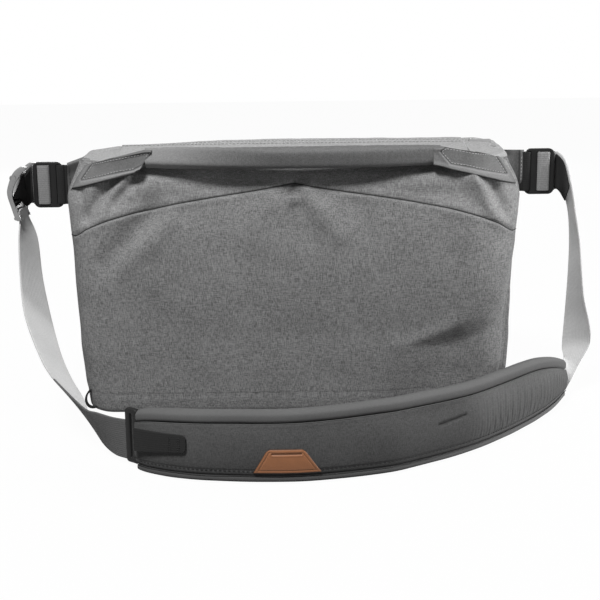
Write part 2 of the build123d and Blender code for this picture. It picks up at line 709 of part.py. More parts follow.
def tab_root(side):
    """The wedge of fabric that the side of the bag draws out to the strap."""
    low_z = anchor_z(side) - TAB_HEIGHT / 2
    high_z = anchor_z(side) + TAB_HEIGHT / 2
    profile = [
        (TAB_ROOT_X, low_z),
        (TAB_END_X, low_z),
        (TAB_END_X, high_z),
        (TAB_SHOULDER_X, TAB_SHOULDER_Z),
        (TAB_ROOT_X, TAB_SHOULDER_Z),
    ]
    plan = [
        (TAB_ROOT_X, -TAB_ROOT_HALF_DEPTH),
        (TAB_ROOT_X + 2 * WEB_THICKNESS, -TAB_ROOT_HALF_DEPTH),
        (TAB_NOSE_X, -WEB_THICKNESS),
        (TAB_END_X, -WEB_THICKNESS),
        (TAB_END_X, WEB_THICKNESS),
        (TAB_NOSE_X, WEB_THICKNESS),
        (TAB_ROOT_X + 2 * WEB_THICKNESS, TAB_ROOT_HALF_DEPTH),
        (TAB_ROOT_X, TAB_ROOT_HALF_DEPTH),
    ]
    wedge = front_prism(profile, -FAR, FAR) & plan_prism(plan, 0, FAR)
    wedge = wedge & slab(0, FAR, -FAR, FAR, 0, RIM_Z)
    wedge = wedge - OUTSIDE
    piece = wedge.solids().sort_by(SortBy.VOLUME)[-1]
    return piece if side > 0 else piece.mirror(Plane.YZ)


def wrap_outline(start_x, bar_start, bar_end, tail_x, tail_centre_y):
    """Webbing round a bar of the frame, seen from above, with a doubled tail to one side."""
    bar_half = FRAME_THICKNESS / 2 + WRAP_PLAY
    outer_half = bar_half + WEB_THICKNESS
    left = bar_start - WRAP_PLAY
    right = bar_end + WRAP_PLAY
    loop = plan_prism(
        [
            (left - WEB_THICKNESS, -outer_half),
            (right + WEB_THICKNESS, -outer_half),
            (right + WEB_THICKNESS, outer_half),
            (left - WEB_THICKNESS, outer_half),
        ],
        -WEB_WIDTH / 2,
        WEB_WIDTH / 2,
    )
    loop = fillet(loop.edges().filter_by(Axis.Z), WEB_THICKNESS)
    tail = slab(min(start_x, tail_x), max(start_x, tail_x), tail_centre_y - WEB_THICKNESS,
                tail_centre_y + WEB_THICKNESS, -WEB_WIDTH / 2, WEB_WIDTH / 2)
    bar = slab(left, right, -bar_half, bar_half, -FAR, FAR)
    return single(loop + tail - bar)


INNER_BAR_END = FRAME_START_X + FRAME_INNER_BAR
MIDDLE_BAR_START = INNER_BAR_END + FRAME_SLOT
MIDDLE_BAR_END = MIDDLE_BAR_START + FRAME_MIDDLE_BAR
WEB_BAR_START = MIDDLE_BAR_END + FRAME_SLOT
WEB_BAR_END = WEB_BAR_START + FRAME_WEB_BAR
TAIL_Y = FRAME_THICKNESS / 2 + WRAP_PLAY + WEB_THICKNESS


def placed(piece, side):
    """A piece drawn on the right at anchor height zero, put on its side."""
    moved = Pos(0, 0, anchor_z(side)) * piece
    return moved if side > 0 else moved.mirror(Plane.YZ)


def tab_loop(side):
    """The end of the side tab, round the inner bar of the frame."""
    start_x = TAB_END_X + STRAP_JOINT_GAP
    loop = wrap_outline(start_x, FRAME_START_X, INNER_BAR_END, FRAME_START_X - WRAP_PLAY, 0.0)
    return placed(loop, side)


def frame_wrap(side):
    """Webbing round the web bar of the frame, its two layers leaving behind the frame."""
    web = wrap_outline(WEB_BAR_END, WEB_BAR_START, WEB_BAR_END, WRAP_TAIL_END_X, TAIL_Y)
    return placed(web, side)


def strap_frame(side):
    """The moulded frame that joins tab and webbing: one slot for the tab and two for the webbing."""
    end_x = FRAME_START_X + FRAME_WIDTH
    middle_x = (FRAME_START_X + end_x) / 2
    outline = Pos(middle_x, 0) * RectangleRounded(FRAME_WIDTH, FRAME_HEIGHT, FRAME_CORNER)
    for slot_start in (INNER_BAR_END, MIDDLE_BAR_END, WEB_BAR_END):
        outline -= Pos(slot_start + FRAME_SLOT / 2, 0) * Rectangle(FRAME_SLOT, FRAME_SLOT_HEIGHT)
    body = Pos(0, FRAME_THICKNESS / 2, 0) * extrude(Plane.XZ * outline, amount=FRAME_THICKNESS)
    rim = body.faces().filter_by(Axis.Y).sort_by(Axis.Y)[0].outer_wire().edges()
    body = chamfer(rim, FRAME_THICKNESS / 6)
    return placed(single(body), side)


# ================================================================== webbing
def ribbon(edges, thickness, shift, first=0, final=None):
    """A band lofted through some of the sections, each between an inner and an outer edge point."""
    inner_points = [Vector(*inner) for inner, _ in edges]
    outer_points = [Vector(*outer) for _, outer in edges]
    centres = [(inner + outer) / 2 for inner, outer in zip(inner_points, outer_points)]
    last = len(edges) - 1
    sections = []
    for index in range(len(edges)):
        travel = centres[min(index + 1, last)] - centres[max(index - 1, 0)]
        across = outer_points[index] - inner_points[index]
        normal = travel.cross(across).normalized()
        near = normal * (shift - thickness / 2)
        far = normal * (shift + thickness / 2)
        corners = [inner_points[index] + near, outer_points[index] + near,
                   outer_points[index] + far, inner_points[index] + far]
        sections.append(make_face(Polyline(*corners, close=True)))
    return single(loft(sections[first:final], ruled=True))


def frame_exit(side):
    """The straight run of the webbing as it leaves the frame's tail."""
    low_z = anchor_z(side) - WEB_WIDTH / 2
    high_z = anchor_z(side) + WEB_WIDTH / 2
    stations = []
    for x in (WRAP_TAIL_END_X, WRAP_TAIL_END_X + 2 * WEB_THICKNESS):
        stations.append(((side * x, TAIL_Y, low_z), (side * x, TAIL_Y, high_z)))
    return stations


KEEPER_SHIFT = STRAP_THICKNESS / 2 + KEEPER_THICKNESS / 2 + KEEPER_GAP


def webbing_right():
    """The right webbing: round the frame's bar and down to the end of the pad."""
    return single(frame_wrap(1) + ribbon(frame_exit(1) + RIGHT_WEB_EDGES, STRAP_THICKNESS, 0.0))


def keeper_right():
    """The dark reinforcement sewn to the front of the right webbing beside its frame."""
    return ribbon(frame_exit(1) + RIGHT_WEB_EDGES, KEEPER_THICKNESS, KEEPER_SHIFT, 0, RIGHT_KEEPER_COUNT)


def anchor_web_left():
    """The short webbing from the left frame's bar to the adjuster."""
    return single(frame_wrap(-1) + ribbon(frame_exit(-1) + LEFT_ANCHOR_EDGES, STRAP_THICKNESS, 0.0))


def keeper_left():
    """The dark reinforcement sewn to the front of the left anchor webbing."""
    return ribbon(frame_exit(-1) + LEFT_ANCHOR_EDGES, KEEPER_THICKNESS, -KEEPER_SHIFT, 0, LEFT_KEEPER_COUNT)


def webbing_left():
    """The left webbing: from the adjuster down to where it turns over."""
    return ribbon(LEFT_WEB_EDGES + LEFT_TAIL_EDGES, STRAP_THICKNESS, 0.0, 0, len(LEFT_WEB_EDGES) + 1)


def webbing_left_tail():
    """The turned-over end of the left webbing, which runs to the pad's ring."""
    return ribbon(LEFT_WEB_EDGES + LEFT_TAIL_EDGES, STRAP_THICKNESS, 0.0, len(LEFT_WEB_EDGES))


# ================================================================== quick adjuster
def bow_outline(outer_inset):
    """The bow of the adjuster seen from its side, as an outer arc closed by an inner arc."""
    outer = ThreePointArc(BOW_TOP, BOW_OUTER, BOW_BOTTOM)
    inner = ThreePointArc(BOW_INNER_BOTTOM, BOW_INNER, BOW_INNER_TOP)
    outline = make_face(outer + Line(BOW_BOTTOM, BOW_INNER_BOTTOM) + inner + Line(BOW_INNER_TOP, BOW_TOP))
    return offset(outline, amount=-outer_inset) if outer_inset else outline


def adjuster_body():
    """Two bow-shaped cheeks joined by the bars that the webbing goes round."""
    near_y = CHEEK_GAP / 2
    blank = Pos(0, near_y + CHEEK_THICKNESS, 0) * extrude(Plane.XZ * bow_outline(0.0), amount=CHEEK_THICKNESS)
    body = blank + blank.mirror(Plane.XZ)
    body += cross_rod(WEB_BAR_X, WEB_BAR_Z, WEB_BAR_RADIUS, near_y + CHEEK_THICKNESS / 2)
    body += cross_rod(FOOT_BAR_X, FOOT_BAR_Z, FOOT_BAR_RADIUS, near_y + CHEEK_THICKNESS / 2)
    body -= cross_rod(ADJUSTER_PIN_X, ADJUSTER_PIN_Z, ADJUSTER_PIN_RADIUS, FAR)
    return single(body)


def adjuster_pin():
    """The axle of the lever, ending flush with the cheeks."""
    return cross_rod(ADJUSTER_PIN_X, ADJUSTER_PIN_Z, ADJUSTER_PIN_RADIUS, CHEEK_GAP / 2 + CHEEK_THICKNESS)


def adjuster_screws():
    """The two socket heads that close the axle."""
    heads = []
    outer_y = CHEEK_GAP / 2 + CHEEK_THICKNESS
    for side in (-1, 1):
        head = Pos(0, side * (outer_y + SCREW_HEAD_HEIGHT / 2), 0) * Rot(90, 0, 0) * Cylinder(
            SCREW_HEAD_RADIUS, SCREW_HEAD_HEIGHT)
        socket_face = Plane(origin=(0, side * (outer_y + SCREW_HEAD_HEIGHT), 0), z_dir=(0, -side, 0))
        socket = extrude(socket_face * RegularPolygon(SCREW_SOCKET, 6), amount=SCREW_SOCKET_DEPTH)
        heads.append(Pos(ADJUSTER_PIN_X, 0, ADJUSTER_PIN_Z) * (head - socket))
    return Compound(children=[single(head) for head in heads])


def adjuster_lever():
    """The curved lever between the cheeks, which lifts outwards to free the webbing."""
    half_width = CHEEK_GAP / 2 - LEVER_SIDE_PLAY
    start = Pos(0, half_width, 0)
    bow = start * extrude(Plane.XZ * bow_outline(LEVER_SETBACK), amount=2 * half_width)
    core_outline = Plane.XZ * bow_outline(0.0)
    core = Pos(LEVER_SETBACK + LEVER_THICKNESS, half_width + 1, 0) * extrude(core_outline, amount=2 * half_width + 2)
    top_z = ADJUSTER_PIN_Z + LEVER_KNUCKLE_RADIUS / 2
    shell = (bow - core) & slab(-FAR, BOW_INNER[0] + 8, -FAR, FAR, LEVER_LOW_Z, top_z)
    shell = shell.solids().sort_by(SortBy.VOLUME)[-1]
    knuckle = cross_rod(ADJUSTER_PIN_X, ADJUSTER_PIN_Z, LEVER_KNUCKLE_RADIUS, half_width)
    bore = cross_rod(ADJUSTER_PIN_X, ADJUSTER_PIN_Z, ADJUSTER_PIN_RADIUS + PIN_RUNNING_PLAY, FAR)
    return single(shell + knuckle - bore)


# ================================================================== shoulder pad
PAD_PATH = Spline(*[(x, y) for x, y, _, _ in PAD_STATIONS])


def pad_section(index):
    """Place of one section of the pad (local x outwards, local y up), its height and its fullness."""
    share = index / (PAD_SECTIONS - 1)
    point = PAD_PATH @ share
    travel = PAD_PATH % share
    outward = Vector(travel.Y, -travel.X, 0)
    place = Plane(origin=(point.X, point.Y, 0), x_dir=outward, z_dir=outward.cross(Vector(0, 0, 1)))
    for before, after in zip(PAD_STATIONS, PAD_STATIONS[1:]):
        if point.X <= after[0] or after is PAD_STATIONS[-1]:
            blend = (point.X - before[0]) / (after[0] - before[0])
            top_z = before[2] + blend * (after[2] - before[2])
            fullness = before[3] + blend * (after[3] - before[3])
            return place, top_z, PAD_END_SHARE + (1 - PAD_END_SHARE) * fullness


def pad_side(edge, crown, fullness):
    """How far one side of a layer stands off the centre plane, at its edges and at its middle."""
    inwards = (1 - fullness) * PAD_EDGE_HALF
    near = edge - inwards if edge > 0 else edge + inwards
    return near, near + (crown - edge) * fullness


def pad_loft(back_edge, back_crown, front_edge, front_crown):
    """A layer of the pad between two curved sides, lofted along the sections."""
    low = PAD_LOW_BORDER + PAD_LAYER_GAP
    sections = []
    for index in range(PAD_SECTIONS):
        place, top_z, fullness = pad_section(index)
        high = top_z - PAD_TOP_BORDER - PAD_LAYER_GAP
        middle = (low + high) / 2
        front, front_middle = pad_side(front_edge, front_crown, fullness)
        back, back_middle = pad_side(back_edge, back_crown, fullness)
        outline = [
            Line((back, low), (front, low)),
            ThreePointArc((front, low), (front_middle, middle), (front, high)),
            Line((front, high), (back, high)),
            ThreePointArc((back, high), (back_middle, middle), (back, low)),
        ]
        sections.append(place * make_face(Curve() + outline))
    return single(loft(sections, ruled=True))


def pad_border(at_top):
    """A rounded border of the pad along its top or its bottom edge."""
    sections = []
    for index in range(PAD_SECTIONS):
        place, top_z, fullness = pad_section(index)
        half = PAD_EDGE_HALF * fullness
        seam = top_z - PAD_TOP_BORDER if at_top else PAD_LOW_BORDER
        rim = top_z if at_top else 0
        corner = rim - PAD_TOP_ROUND if at_top else rim + PAD_LOW_ROUND
        outline = [
            Line((-half, seam), (half, seam)),
            Line((half, seam), (half, corner)),
            ThreePointArc((half, corner), (0, rim), (-half, corner)),
            Line((-half, corner), (-half, seam)),
        ]
        sections.append(place * make_face(Curve() + outline))
    return single(loft(sections, ruled=True))


def pad_core():
    """The foam of the pad."""
    edge = PAD_EDGE_HALF - PAD_COVER - PAD_LAYER_GAP
    front = PAD_FRONT_CROWN - PAD_COVER - PAD_LAYER_GAP
    back = PAD_BACK_CROWN - PAD_COVER - PAD_LAYER_GAP
    return pad_loft(-edge, -back, edge, front)


def pad_face():
    """The outer cover of the pad."""
    inner_edge = PAD_EDGE_HALF - PAD_COVER
    inner_crown = PAD_FRONT_CROWN - PAD_COVER
    return pad_loft(inner_edge, inner_crown, PAD_EDGE_HALF, PAD_FRONT_CROWN)


def pad_back():
    """The mesh cover on the wearer's side."""
    inner_edge = PAD_EDGE_HALF - PAD_COVER
    inner_crown = PAD_BACK_CROWN - PAD_COVER
    return pad_loft(-PAD_EDGE_HALF, -PAD_BACK_CROWN, -inner_edge, -inner_crown)


def leather_patch():
    """A bare leather patch sewn to the front of the pad."""
    gap = PAD_LAYER_GAP
    outer = PAD_FRONT_CROWN + gap + LEATHER_THICKNESS
    layer = pad_loft(PAD_EDGE_HALF + gap, PAD_FRONT_CROWN + gap, PAD_EDGE_HALF + gap + LEATHER_THICKNESS, outer)
    outline = make_face(Polyline(
        (LEATHER_LEFT_X, LEATHER_LOW_Z), (LEATHER_RIGHT_X, LEATHER_LOW_Z),
        (LEATHER_TOP_RIGHT_X, LEATHER_TOP_Z), (LEATHER_TOP_LEFT_X, LEATHER_TOP_Z), close=True))
    outline = fillet(outline.vertices().group_by(Axis.Y)[-1], LEATHER_CORNER)
    return single(layer & extrude(Plane.XZ * outline, amount=FAR))


def ring_plane():
    """The plane of the pad's left end: local x runs off the pad's end, local y is up."""
    place, _, _ = pad_section(0)
    off_end = Vector(0, 0, 1).cross(place.x_dir) * -1
    off_end = off_end if off_end.X < 0 else off_end * -1
    origin = (place.origin.X, place.origin.Y, RING_BASE_Z)
    return Plane(origin=origin, x_dir=off_end, z_dir=off_end.cross(Vector(0, 0, 1)))


def pad_ring():
    """The black ring between the webbing and the pad."""
    centre = Pos(RING_GAP + RING_WIDTH / 2, RING_HEIGHT / 2)
    outline = centre * RectangleRounded(RING_WIDTH, RING_HEIGHT, RING_BAR / 2)
    outline -= centre * Rectangle(RING_WIDTH - 2 * RING_BAR, RING_HEIGHT - 2 * RING_BAR)
    return single(extrude(ring_plane() * outline, amount=RING_THICKNESS / 2, both=True))


def ring_loop():
    """The short band that holds the ring to the pad."""
    plane = ring_plane()
    bar_end = RING_GAP + RING_BAR
    half = RING_THICKNESS / 2 + WRAP_PLAY
    outer = Pos((bar_end + WRAP_PLAY + RING_LOOP_THICKNESS) / 2, 0, RING_HEIGHT / 2) * Box(
        bar_end + WRAP_PLAY + RING_LOOP_THICKNESS, 2 * (half + RING_LOOP_THICKNESS), RING_LOOP_HEIGHT)
    inner = Pos((RING_GAP - WRAP_PLAY + bar_end + WRAP_PLAY) / 2, 0, RING_HEIGHT / 2) * Box(
        RING_BAR + 2 * WRAP_PLAY, 2 * half, FAR)
    upright = Plane(origin=plane.origin, x_dir=plane.x_dir, z_dir=(0, 0, 1))
    return single(upright * (outer - inner))


def pull_tab():
    """The webbing tab that hangs from the pad's left end and is pulled to open the adjuster."""
    run = Vector(PULL_TAB_TIP[0] - PULL_TAB_ROOT[0], PULL_TAB_TIP[1] - PULL_TAB_ROOT[1], 0)
    plane = Plane(origin=(PULL_TAB_ROOT[0], PULL_TAB_ROOT[1], PULL_TAB_Z), x_dir=run.normalized(),
                  z_dir=run.normalized().cross(Vector(0, 0, 1)))
    outline = Pos(PULL_TAB_LENGTH / 2, 0) * Rectangle(PULL_TAB_LENGTH, PULL_TAB_HEIGHT)
    outline = fillet(outline.vertices().group_by(Axis.X)[-1], PULL_TAB_HEIGHT / 3)
    return single(extrude(plane * outline, amount=PULL_TAB_THICKNESS / 2, both=True))


# ================================================================== corner loops
def corner_loop(side):
    """A small webbing loop at a front corner of the base."""
    ring = Pos(CORNER_LOOP_X, CORNER_LOOP_Y, CORNER_LOOP_Z) * Rot(90, 0, 0) * (
        Cylinder(CORNER_LOOP_RADIUS, CORNER_LOOP_WIDTH)
        - Cylinder(CORNER_LOOP_RADIUS - CORNER_LOOP_THICKNESS, 2 * CORNER_LOOP_WIDTH))
    loop = (ring - OUTSIDE).solids().sort_by(SortBy.VOLUME)[-1]
    return loop if side > 0 else loop.mirror(Plane.YZ)


# ================================================================== all nodes
def all_nodes():
    nodes = {}
    nodes.update(outer_panels())
    nodes.update(foam_boards())
    nodes["interior_lining"] = interior_lining()
    nodes["rear_sleeve"] = rear_sleeve()
    nodes["front_pocket"] = front_pocket()
    nodes["top_flap_front"] = front_flap()
    nodes["top_flap_rear"] = rear_flap()
    nodes["zip_tape_front"] = zip_tape(-1)
    nodes["zip_tape_rear"] = zip_tape(1)
    nodes["zip_teeth_front"] = zip_teeth(-1)
    nodes["zip_teeth_rear"] = zip_teeth(1)
    nodes["zip_slider"] = zip_slider()
    nodes["zip_puller"] = zip_puller()
    nodes["handle_cover"] = handle_cover()
    nodes["handle_core"] = handle_core()
    for name, side in (("left", -1), ("right", 1)):
        nodes[f"top_end_{name}"] = top_end(side)
        nodes[f"handle_patch_{name}"] = handle_patch(side)
        nodes[f"divider_{name}"] = divider(side)
        nodes[f"divider_flap_{name}"] = divider_flap(side)
        nodes[f"tab_root_{name}"] = tab_root(side)
        nodes[f"tab_loop_{name}"] = tab_loop(side)
        nodes[f"strap_frame_{name}"] = strap_frame(side)
        nodes[f"corner_loop_{name}"] = corner_loop(side)
    nodes["keeper_right"] = keeper_right()
    nodes["keeper_left"] = keeper_left()
    nodes["anchor_web_left"] = anchor_web_left()
    nodes["webbing_right"] = webbing_right()
    nodes["webbing_left"] = webbing_left()
    nodes["webbing_left_tail"] = webbing_left_tail()
    nodes["adjuster_body"] = adjuster_body()
    nodes["adjuster_pin"] = adjuster_pin()
    nodes["adjuster_screws"] = adjuster_screws()
    nodes["adjuster_lever"] = adjuster_lever()
    nodes["pad_core"] = pad_core()
    nodes["pad_face"] = pad_face()
    nodes["pad_back"] = pad_back()
    nodes["pad_border_top"] = pad_border(True)
    nodes["pad_border_bottom"] = pad_border(False)
    nodes["leather_patch"] = leather_patch()
    nodes["pad_ring"] = pad_ring()
    nodes["pad_ring_loop"] = ring_loop()
    nodes["pull_tab"] = pull_tab()
    return nodes


os.makedirs("parts", exist_ok=True)
for node, shape in all_nodes().items():
    export_step(shape, f"parts/{node}.step")
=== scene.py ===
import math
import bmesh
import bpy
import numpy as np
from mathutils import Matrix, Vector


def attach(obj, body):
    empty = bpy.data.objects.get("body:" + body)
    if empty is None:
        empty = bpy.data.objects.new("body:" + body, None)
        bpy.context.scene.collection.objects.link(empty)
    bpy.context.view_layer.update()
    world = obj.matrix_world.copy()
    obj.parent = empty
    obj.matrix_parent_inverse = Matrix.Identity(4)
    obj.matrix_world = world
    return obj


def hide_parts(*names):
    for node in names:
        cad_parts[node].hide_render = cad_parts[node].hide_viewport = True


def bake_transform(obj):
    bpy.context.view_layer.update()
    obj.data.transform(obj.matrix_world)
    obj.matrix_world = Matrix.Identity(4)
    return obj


bl_info = {
    "name": "Camera sling bag",
    "version": (1, 0, 0),
    "blender": (4, 5, 0),
    "location": "View3D > Sidebar > Sling Bag",
    "description": "Dresses the packed camera sling bag in fabric, webbing, leather and moulded hardware",
    "category": "Object",
}

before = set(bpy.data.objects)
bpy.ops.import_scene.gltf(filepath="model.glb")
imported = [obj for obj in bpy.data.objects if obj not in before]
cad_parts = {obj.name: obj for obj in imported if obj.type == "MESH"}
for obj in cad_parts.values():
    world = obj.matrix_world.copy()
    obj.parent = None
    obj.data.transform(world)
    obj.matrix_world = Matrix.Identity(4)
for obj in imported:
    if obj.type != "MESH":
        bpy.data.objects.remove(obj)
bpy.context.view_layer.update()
MM = 0.001
SIDES = (("left", -1), ("right", 1))
PLAIN_STITCH = 2.6

# Body of the bag, in millimetres: heights of its levels with half its width and half its depth there.
LEVEL_HEIGHT = (0.0, 60.0, 130.0, 175.0, 205.0, 270.0)
LEVEL_WIDTH = (208.0, 217.0, 221.0, 223.0, 227.0, 229.0)
LEVEL_DEPTH = (66.0, 73.0, 76.0, 73.0, 68.0, 57.0)
CORNER_ROUND = 30.0
BASE_ROUND = 20.0
SHOWN_ROUND = 6.0
BASE_SEAM = 20.0
RIM = 248.4
SIDE_SEAM = 45.0
SHOULDER = ((228.0, 214.0), (205.0, 257.0))
CHEVRON = ((0.0, 225.2), (33.0, 219.6), (77.0, 213.2), (110.0, 207.9), (147.0, 200.8), (185.0, 191.8), (197.0, 187.8),
           (206.0, 184.0), (213.0, 179.5), (219.0, 175.0))

# Heights and, as shares of what is set, how far the front's corners draw in there and its middle stands out.
PINCH = ((0, 20, 60, 120, 205, 225, 248), (0.0, 0.17, 0.67, 1.0, 1.0, 0.67, 0.33))
FULLNESS = ((0, 14, 40, 80, 120, 150, 175, 200, 222, 234, 243, 250),
            (0.29, 0.42, 0.37, 0.37, 0.54, 0.73, 0.9, 1.0, 0.96, 0.69, 0.23, 0.0))


# ---------------------------------------------------------------- small helpers
def sizes():
    """The sizes as they are set in the panel."""
    return bpy.context.scene.sling_bag_sizes


def ease(low, high, value):
    """Rises smoothly from 0 to 1 between two values."""
    share = np.clip((np.asarray(value, float) - low) / (high - low), 0.0, 1.0)
    return share * share * (3.0 - 2.0 * share)


def hump(distance, width):
    """A smooth bump of height 1 where the distance is 0."""
    return np.exp(-((np.asarray(distance, float) / width) ** 2))


def unit(vectors):
    """Vectors made one long."""
    length = np.linalg.norm(vectors, axis=-1, keepdims=True)
    return vectors / np.maximum(length, 1e-9)


def points_at(x, y, z):
    """Points from their three coordinates, any of which may be one number for all."""
    return np.stack(np.broadcast_arrays(x, y, z), axis=-1)


def at_height(flat, z):
    """Points of a plan lifted to one height."""
    return np.column_stack([flat, np.full(len(flat), z)])


def squared_off(value, power):
    """A sine or cosine made blunter, so that a circle drawn with it turns into a rounded rectangle."""
    return np.sign(value) * np.abs(value) ** power


def run_lengths(points):
    """How far along a line each of its points lies."""
    return np.concatenate([[0.0], np.cumsum(np.linalg.norm(np.diff(points, axis=0), axis=1))])


def spaced(points, count):
    """Points at even distances along a line of points."""
    points = np.asarray(points, float)
    reach = run_lengths(points)
    wanted = np.linspace(0.0, reach[-1], count)
    return np.stack([np.interp(wanted, reach, points[:, axis]) for axis in range(points.shape[1])], axis=1)


def curve_through(points, count):
    """Evenly spaced points on a smooth line through the given ones."""
    points = np.asarray(points, float)
    padded = np.vstack([2 * points[0] - points[1], points, 2 * points[-1] - points[-2]])
    step = np.linspace(0.0, 1.0, 20, endpoint=False)[:, None]
    runs = []
    for before, start, end, after in zip(padded, padded[1:], padded[2:], padded[3:]):
        bend = (2 * before - 5 * start + 4 * end - after) * step**2
        twist = (3 * start - before - 3 * end + after) * step**3
        runs.append(0.5 * (2 * start + (end - before) * step + bend + twist))
    runs.append(points[-1:])
    return spaced(np.vstack(runs), count)


def closed_curve(points, count):
    """Evenly spaced points on a smooth closed line through the given ones."""
    points = np.asarray(points, float)
    turned = np.vstack([points[-2:], points, points[:3]])
    smooth = curve_through(turned, 24 * len(turned))
    half = len(smooth) // 2
    start = np.argmin(np.linalg.norm(smooth[:half] - points[0], axis=1))
    end = half + np.argmin(np.linalg.norm(smooth[half:] - points[0], axis=1))
    return spaced(smooth[start:end + 1], count + 1)[:-1]


def graded(count, crowding):
    """Shares from 0 to 1 that crowd together at both ends."""
    share = np.linspace(0.0, 1.0, count)
    return share - crowding * np.sin(2 * np.pi * share) / (2 * np.pi)


def ripple(points, size, seed):
    """Smooth random waves between -1 and 1, the same on each run."""
    rng = np.random.default_rng(seed)
    total = np.zeros(points.shape[:-1])
    for _ in range(7):
        direction = unit(rng.normal(size=3))
        pitch = size * rng.uniform(0.6, 1.6)
        total += np.sin(2 * np.pi * (points @ direction) / pitch + rng.uniform(0, 2 * np.pi))
    return total / 3.5


def arch(share):
    """0 at both ends of a share from 0 to 1, flat and 1 about its middle."""
    return 1 - np.abs(2 * share - 1) ** 2.2


def segment_distance(x, z, start, end):
    """Distance from a segment in the plane of the front, and the share of the way along it."""
    across = (end[0] - start[0], end[1] - start[1])
    length = across[0] ** 2 + across[1] ** 2
    share = ((x - start[0]) * across[0] + (z - start[1]) * across[1]) / length
    inside = np.clip(share, 0.0, 1.0)
    gap = np.hypot(x - start[0] - inside * across[0], z - start[1] - inside * across[1])
    return gap, share


# ---------------------------------------------------------------- meshes
def mesh_piece(name, points, faces, measures=None, crease_angle=None):
    """A mesh object from points in millimetres, with its faces turned outwards."""
    mesh = bpy.data.meshes.new(name)
    mesh.from_pydata([tuple(p) for p in np.asarray(points, float) * MM], [], faces)
    mesh.validate()
    turn_faces_out(mesh)
    for measure, values in (measures or {}).items():
        layer = mesh.attributes.new(measure, "FLOAT", "POINT")
        layer.data.foreach_set("value", np.asarray(values, np.float32).ravel())
    return shown_piece(name, mesh, crease_angle)


def turn_faces_out(mesh, merge=0.0):
    """Turns the faces of a mesh outwards, after joining points that lie closer together than the merge distance."""
    work = bmesh.new()
    work.from_mesh(mesh)
    if merge:
        bmesh.ops.remove_doubles(work, verts=work.verts, dist=merge)
    bmesh.ops.recalc_face_normals(work, faces=work.faces)
    work.to_mesh(mesh)
    work.free()


def shown_piece(name, mesh, crease_angle):
    """An object for a finished mesh, smooth but for edges sharper than the crease angle, in degrees."""
    mesh.shade_smooth()
    if crease_angle is not None:
        mesh.set_sharp_from_angle(angle=math.radians(crease_angle))
    return linked_object(name, mesh)


def linked_object(name, data):
    """An object in the scene for a mesh, a curve, a lamp or a camera."""
    made = bpy.data.objects.new(name, data)
    bpy.context.scene.collection.objects.link(made)
    return made


def grid_faces(rows, columns, around=False, first=0):
    """The four-sided faces of a grid of points, closed round its columns if asked."""
    faces = []
    last = columns if around else columns - 1
    for row in range(rows - 1):
        base = first + row * columns
        for column in range(last):
            beside = (column + 1) % columns
            faces.append((base + column, base + beside, base + columns + beside, base + columns + column))
    return faces


def grid_piece(name, grid, measures=None, crease_angle=None):
    """A closed piece from a grid of points whose rows go round it, with a face over its first and its last row."""
    rows, columns = grid.shape[:2]
    faces = grid_faces(rows, columns, True)
    faces.append(tuple(range(columns)))
    faces.append(tuple((rows - 1) * columns + column for column in range(columns)))
    return mesh_piece(name, grid.reshape(-1, 3), faces, measures, crease_angle)


def joined_sheets(name, front, back, measures=None, crease_angle=None):
    """A closed piece from a front and a back grid of points, joined round their borders."""
    rows, columns = front.shape[:2]
    count = rows * columns
    faces = grid_faces(rows, columns) + [tuple(reversed(face)) for face in grid_faces(rows, columns, False, count)]
    border = ([(0, column) for column in range(columns)] + [(row, columns - 1) for row in range(1, rows)]
              + [(rows - 1, column) for column in range(columns - 2, -1, -1)]
              + [(row, 0) for row in range(rows - 2, 0, -1)])
    numbers = [row * columns + column for row, column in border]
    for here, after in zip(numbers, numbers[1:] + numbers[:1]):
        faces.append((here, after, after + count, here + count))
    doubled = {key: np.concatenate([values.ravel(), values.ravel()]) for key, values in (measures or {}).items()}
    points = np.vstack([front.reshape(-1, 3), back.reshape(-1, 3)])
    return mesh_piece(name, points, faces, doubled, crease_angle)


def border_distance(sheet):
    """How far each point of a grid is from the nearest border of the grid."""
    along = np.linalg.norm(np.diff(sheet, axis=1), axis=2)
    up = np.linalg.norm(np.diff(sheet, axis=0), axis=2)
    from_left = np.pad(np.cumsum(along, axis=1), ((0, 0), (1, 0)))
    from_low = np.pad(np.cumsum(up, axis=0), ((1, 0), (0, 0)))
    return np.minimum.reduce([from_left, from_left[:, -1:] - from_left, from_low, from_low[-1:] - from_low])


def board_piece(name, sheet, normal, half, edge, puff, stitch_in, seed):
    """A padded board about a sheet of centre points, rounded at its borders and sewn a little way in from them."""
    gap = border_distance(sheet)
    nearness = np.clip(gap / edge, 0, 1)
    thick = half * np.sqrt(np.maximum(0.02, 1 - (1 - nearness) ** 2)) + puff * ease(edge, edge * 6, gap)
    thick = thick + ripple(sheet, 45.0, seed) * 0.18 * nearness - 0.6 * hump(gap - stitch_in, 1.0)
    shift = np.array(normal, float) * thick[..., None]
    return joined_sheets(name, sheet + shift, sheet - shift, {"seam": 0.6 * hump(gap - stitch_in, 0.7)})


def rounded_loop(width, height, corner, steps):
    """Points round a rectangle with rounded corners, with its middle at 0, 0."""
    corner = min(corner, width / 2 - 1e-3, height / 2 - 1e-3)
    points = []
    for x_sign, y_sign, start in ((1, 1, 0), (-1, 1, 90), (-1, -1, 180), (1, -1, 270)):
        for step in range(steps + 1):
            angle = math.radians(start + 90 * step / steps)
            points.append((x_sign * (width / 2 - corner) + corner * math.cos(angle),
                           y_sign * (height / 2 - corner) + corner * math.sin(angle)))
    return np.array(points)


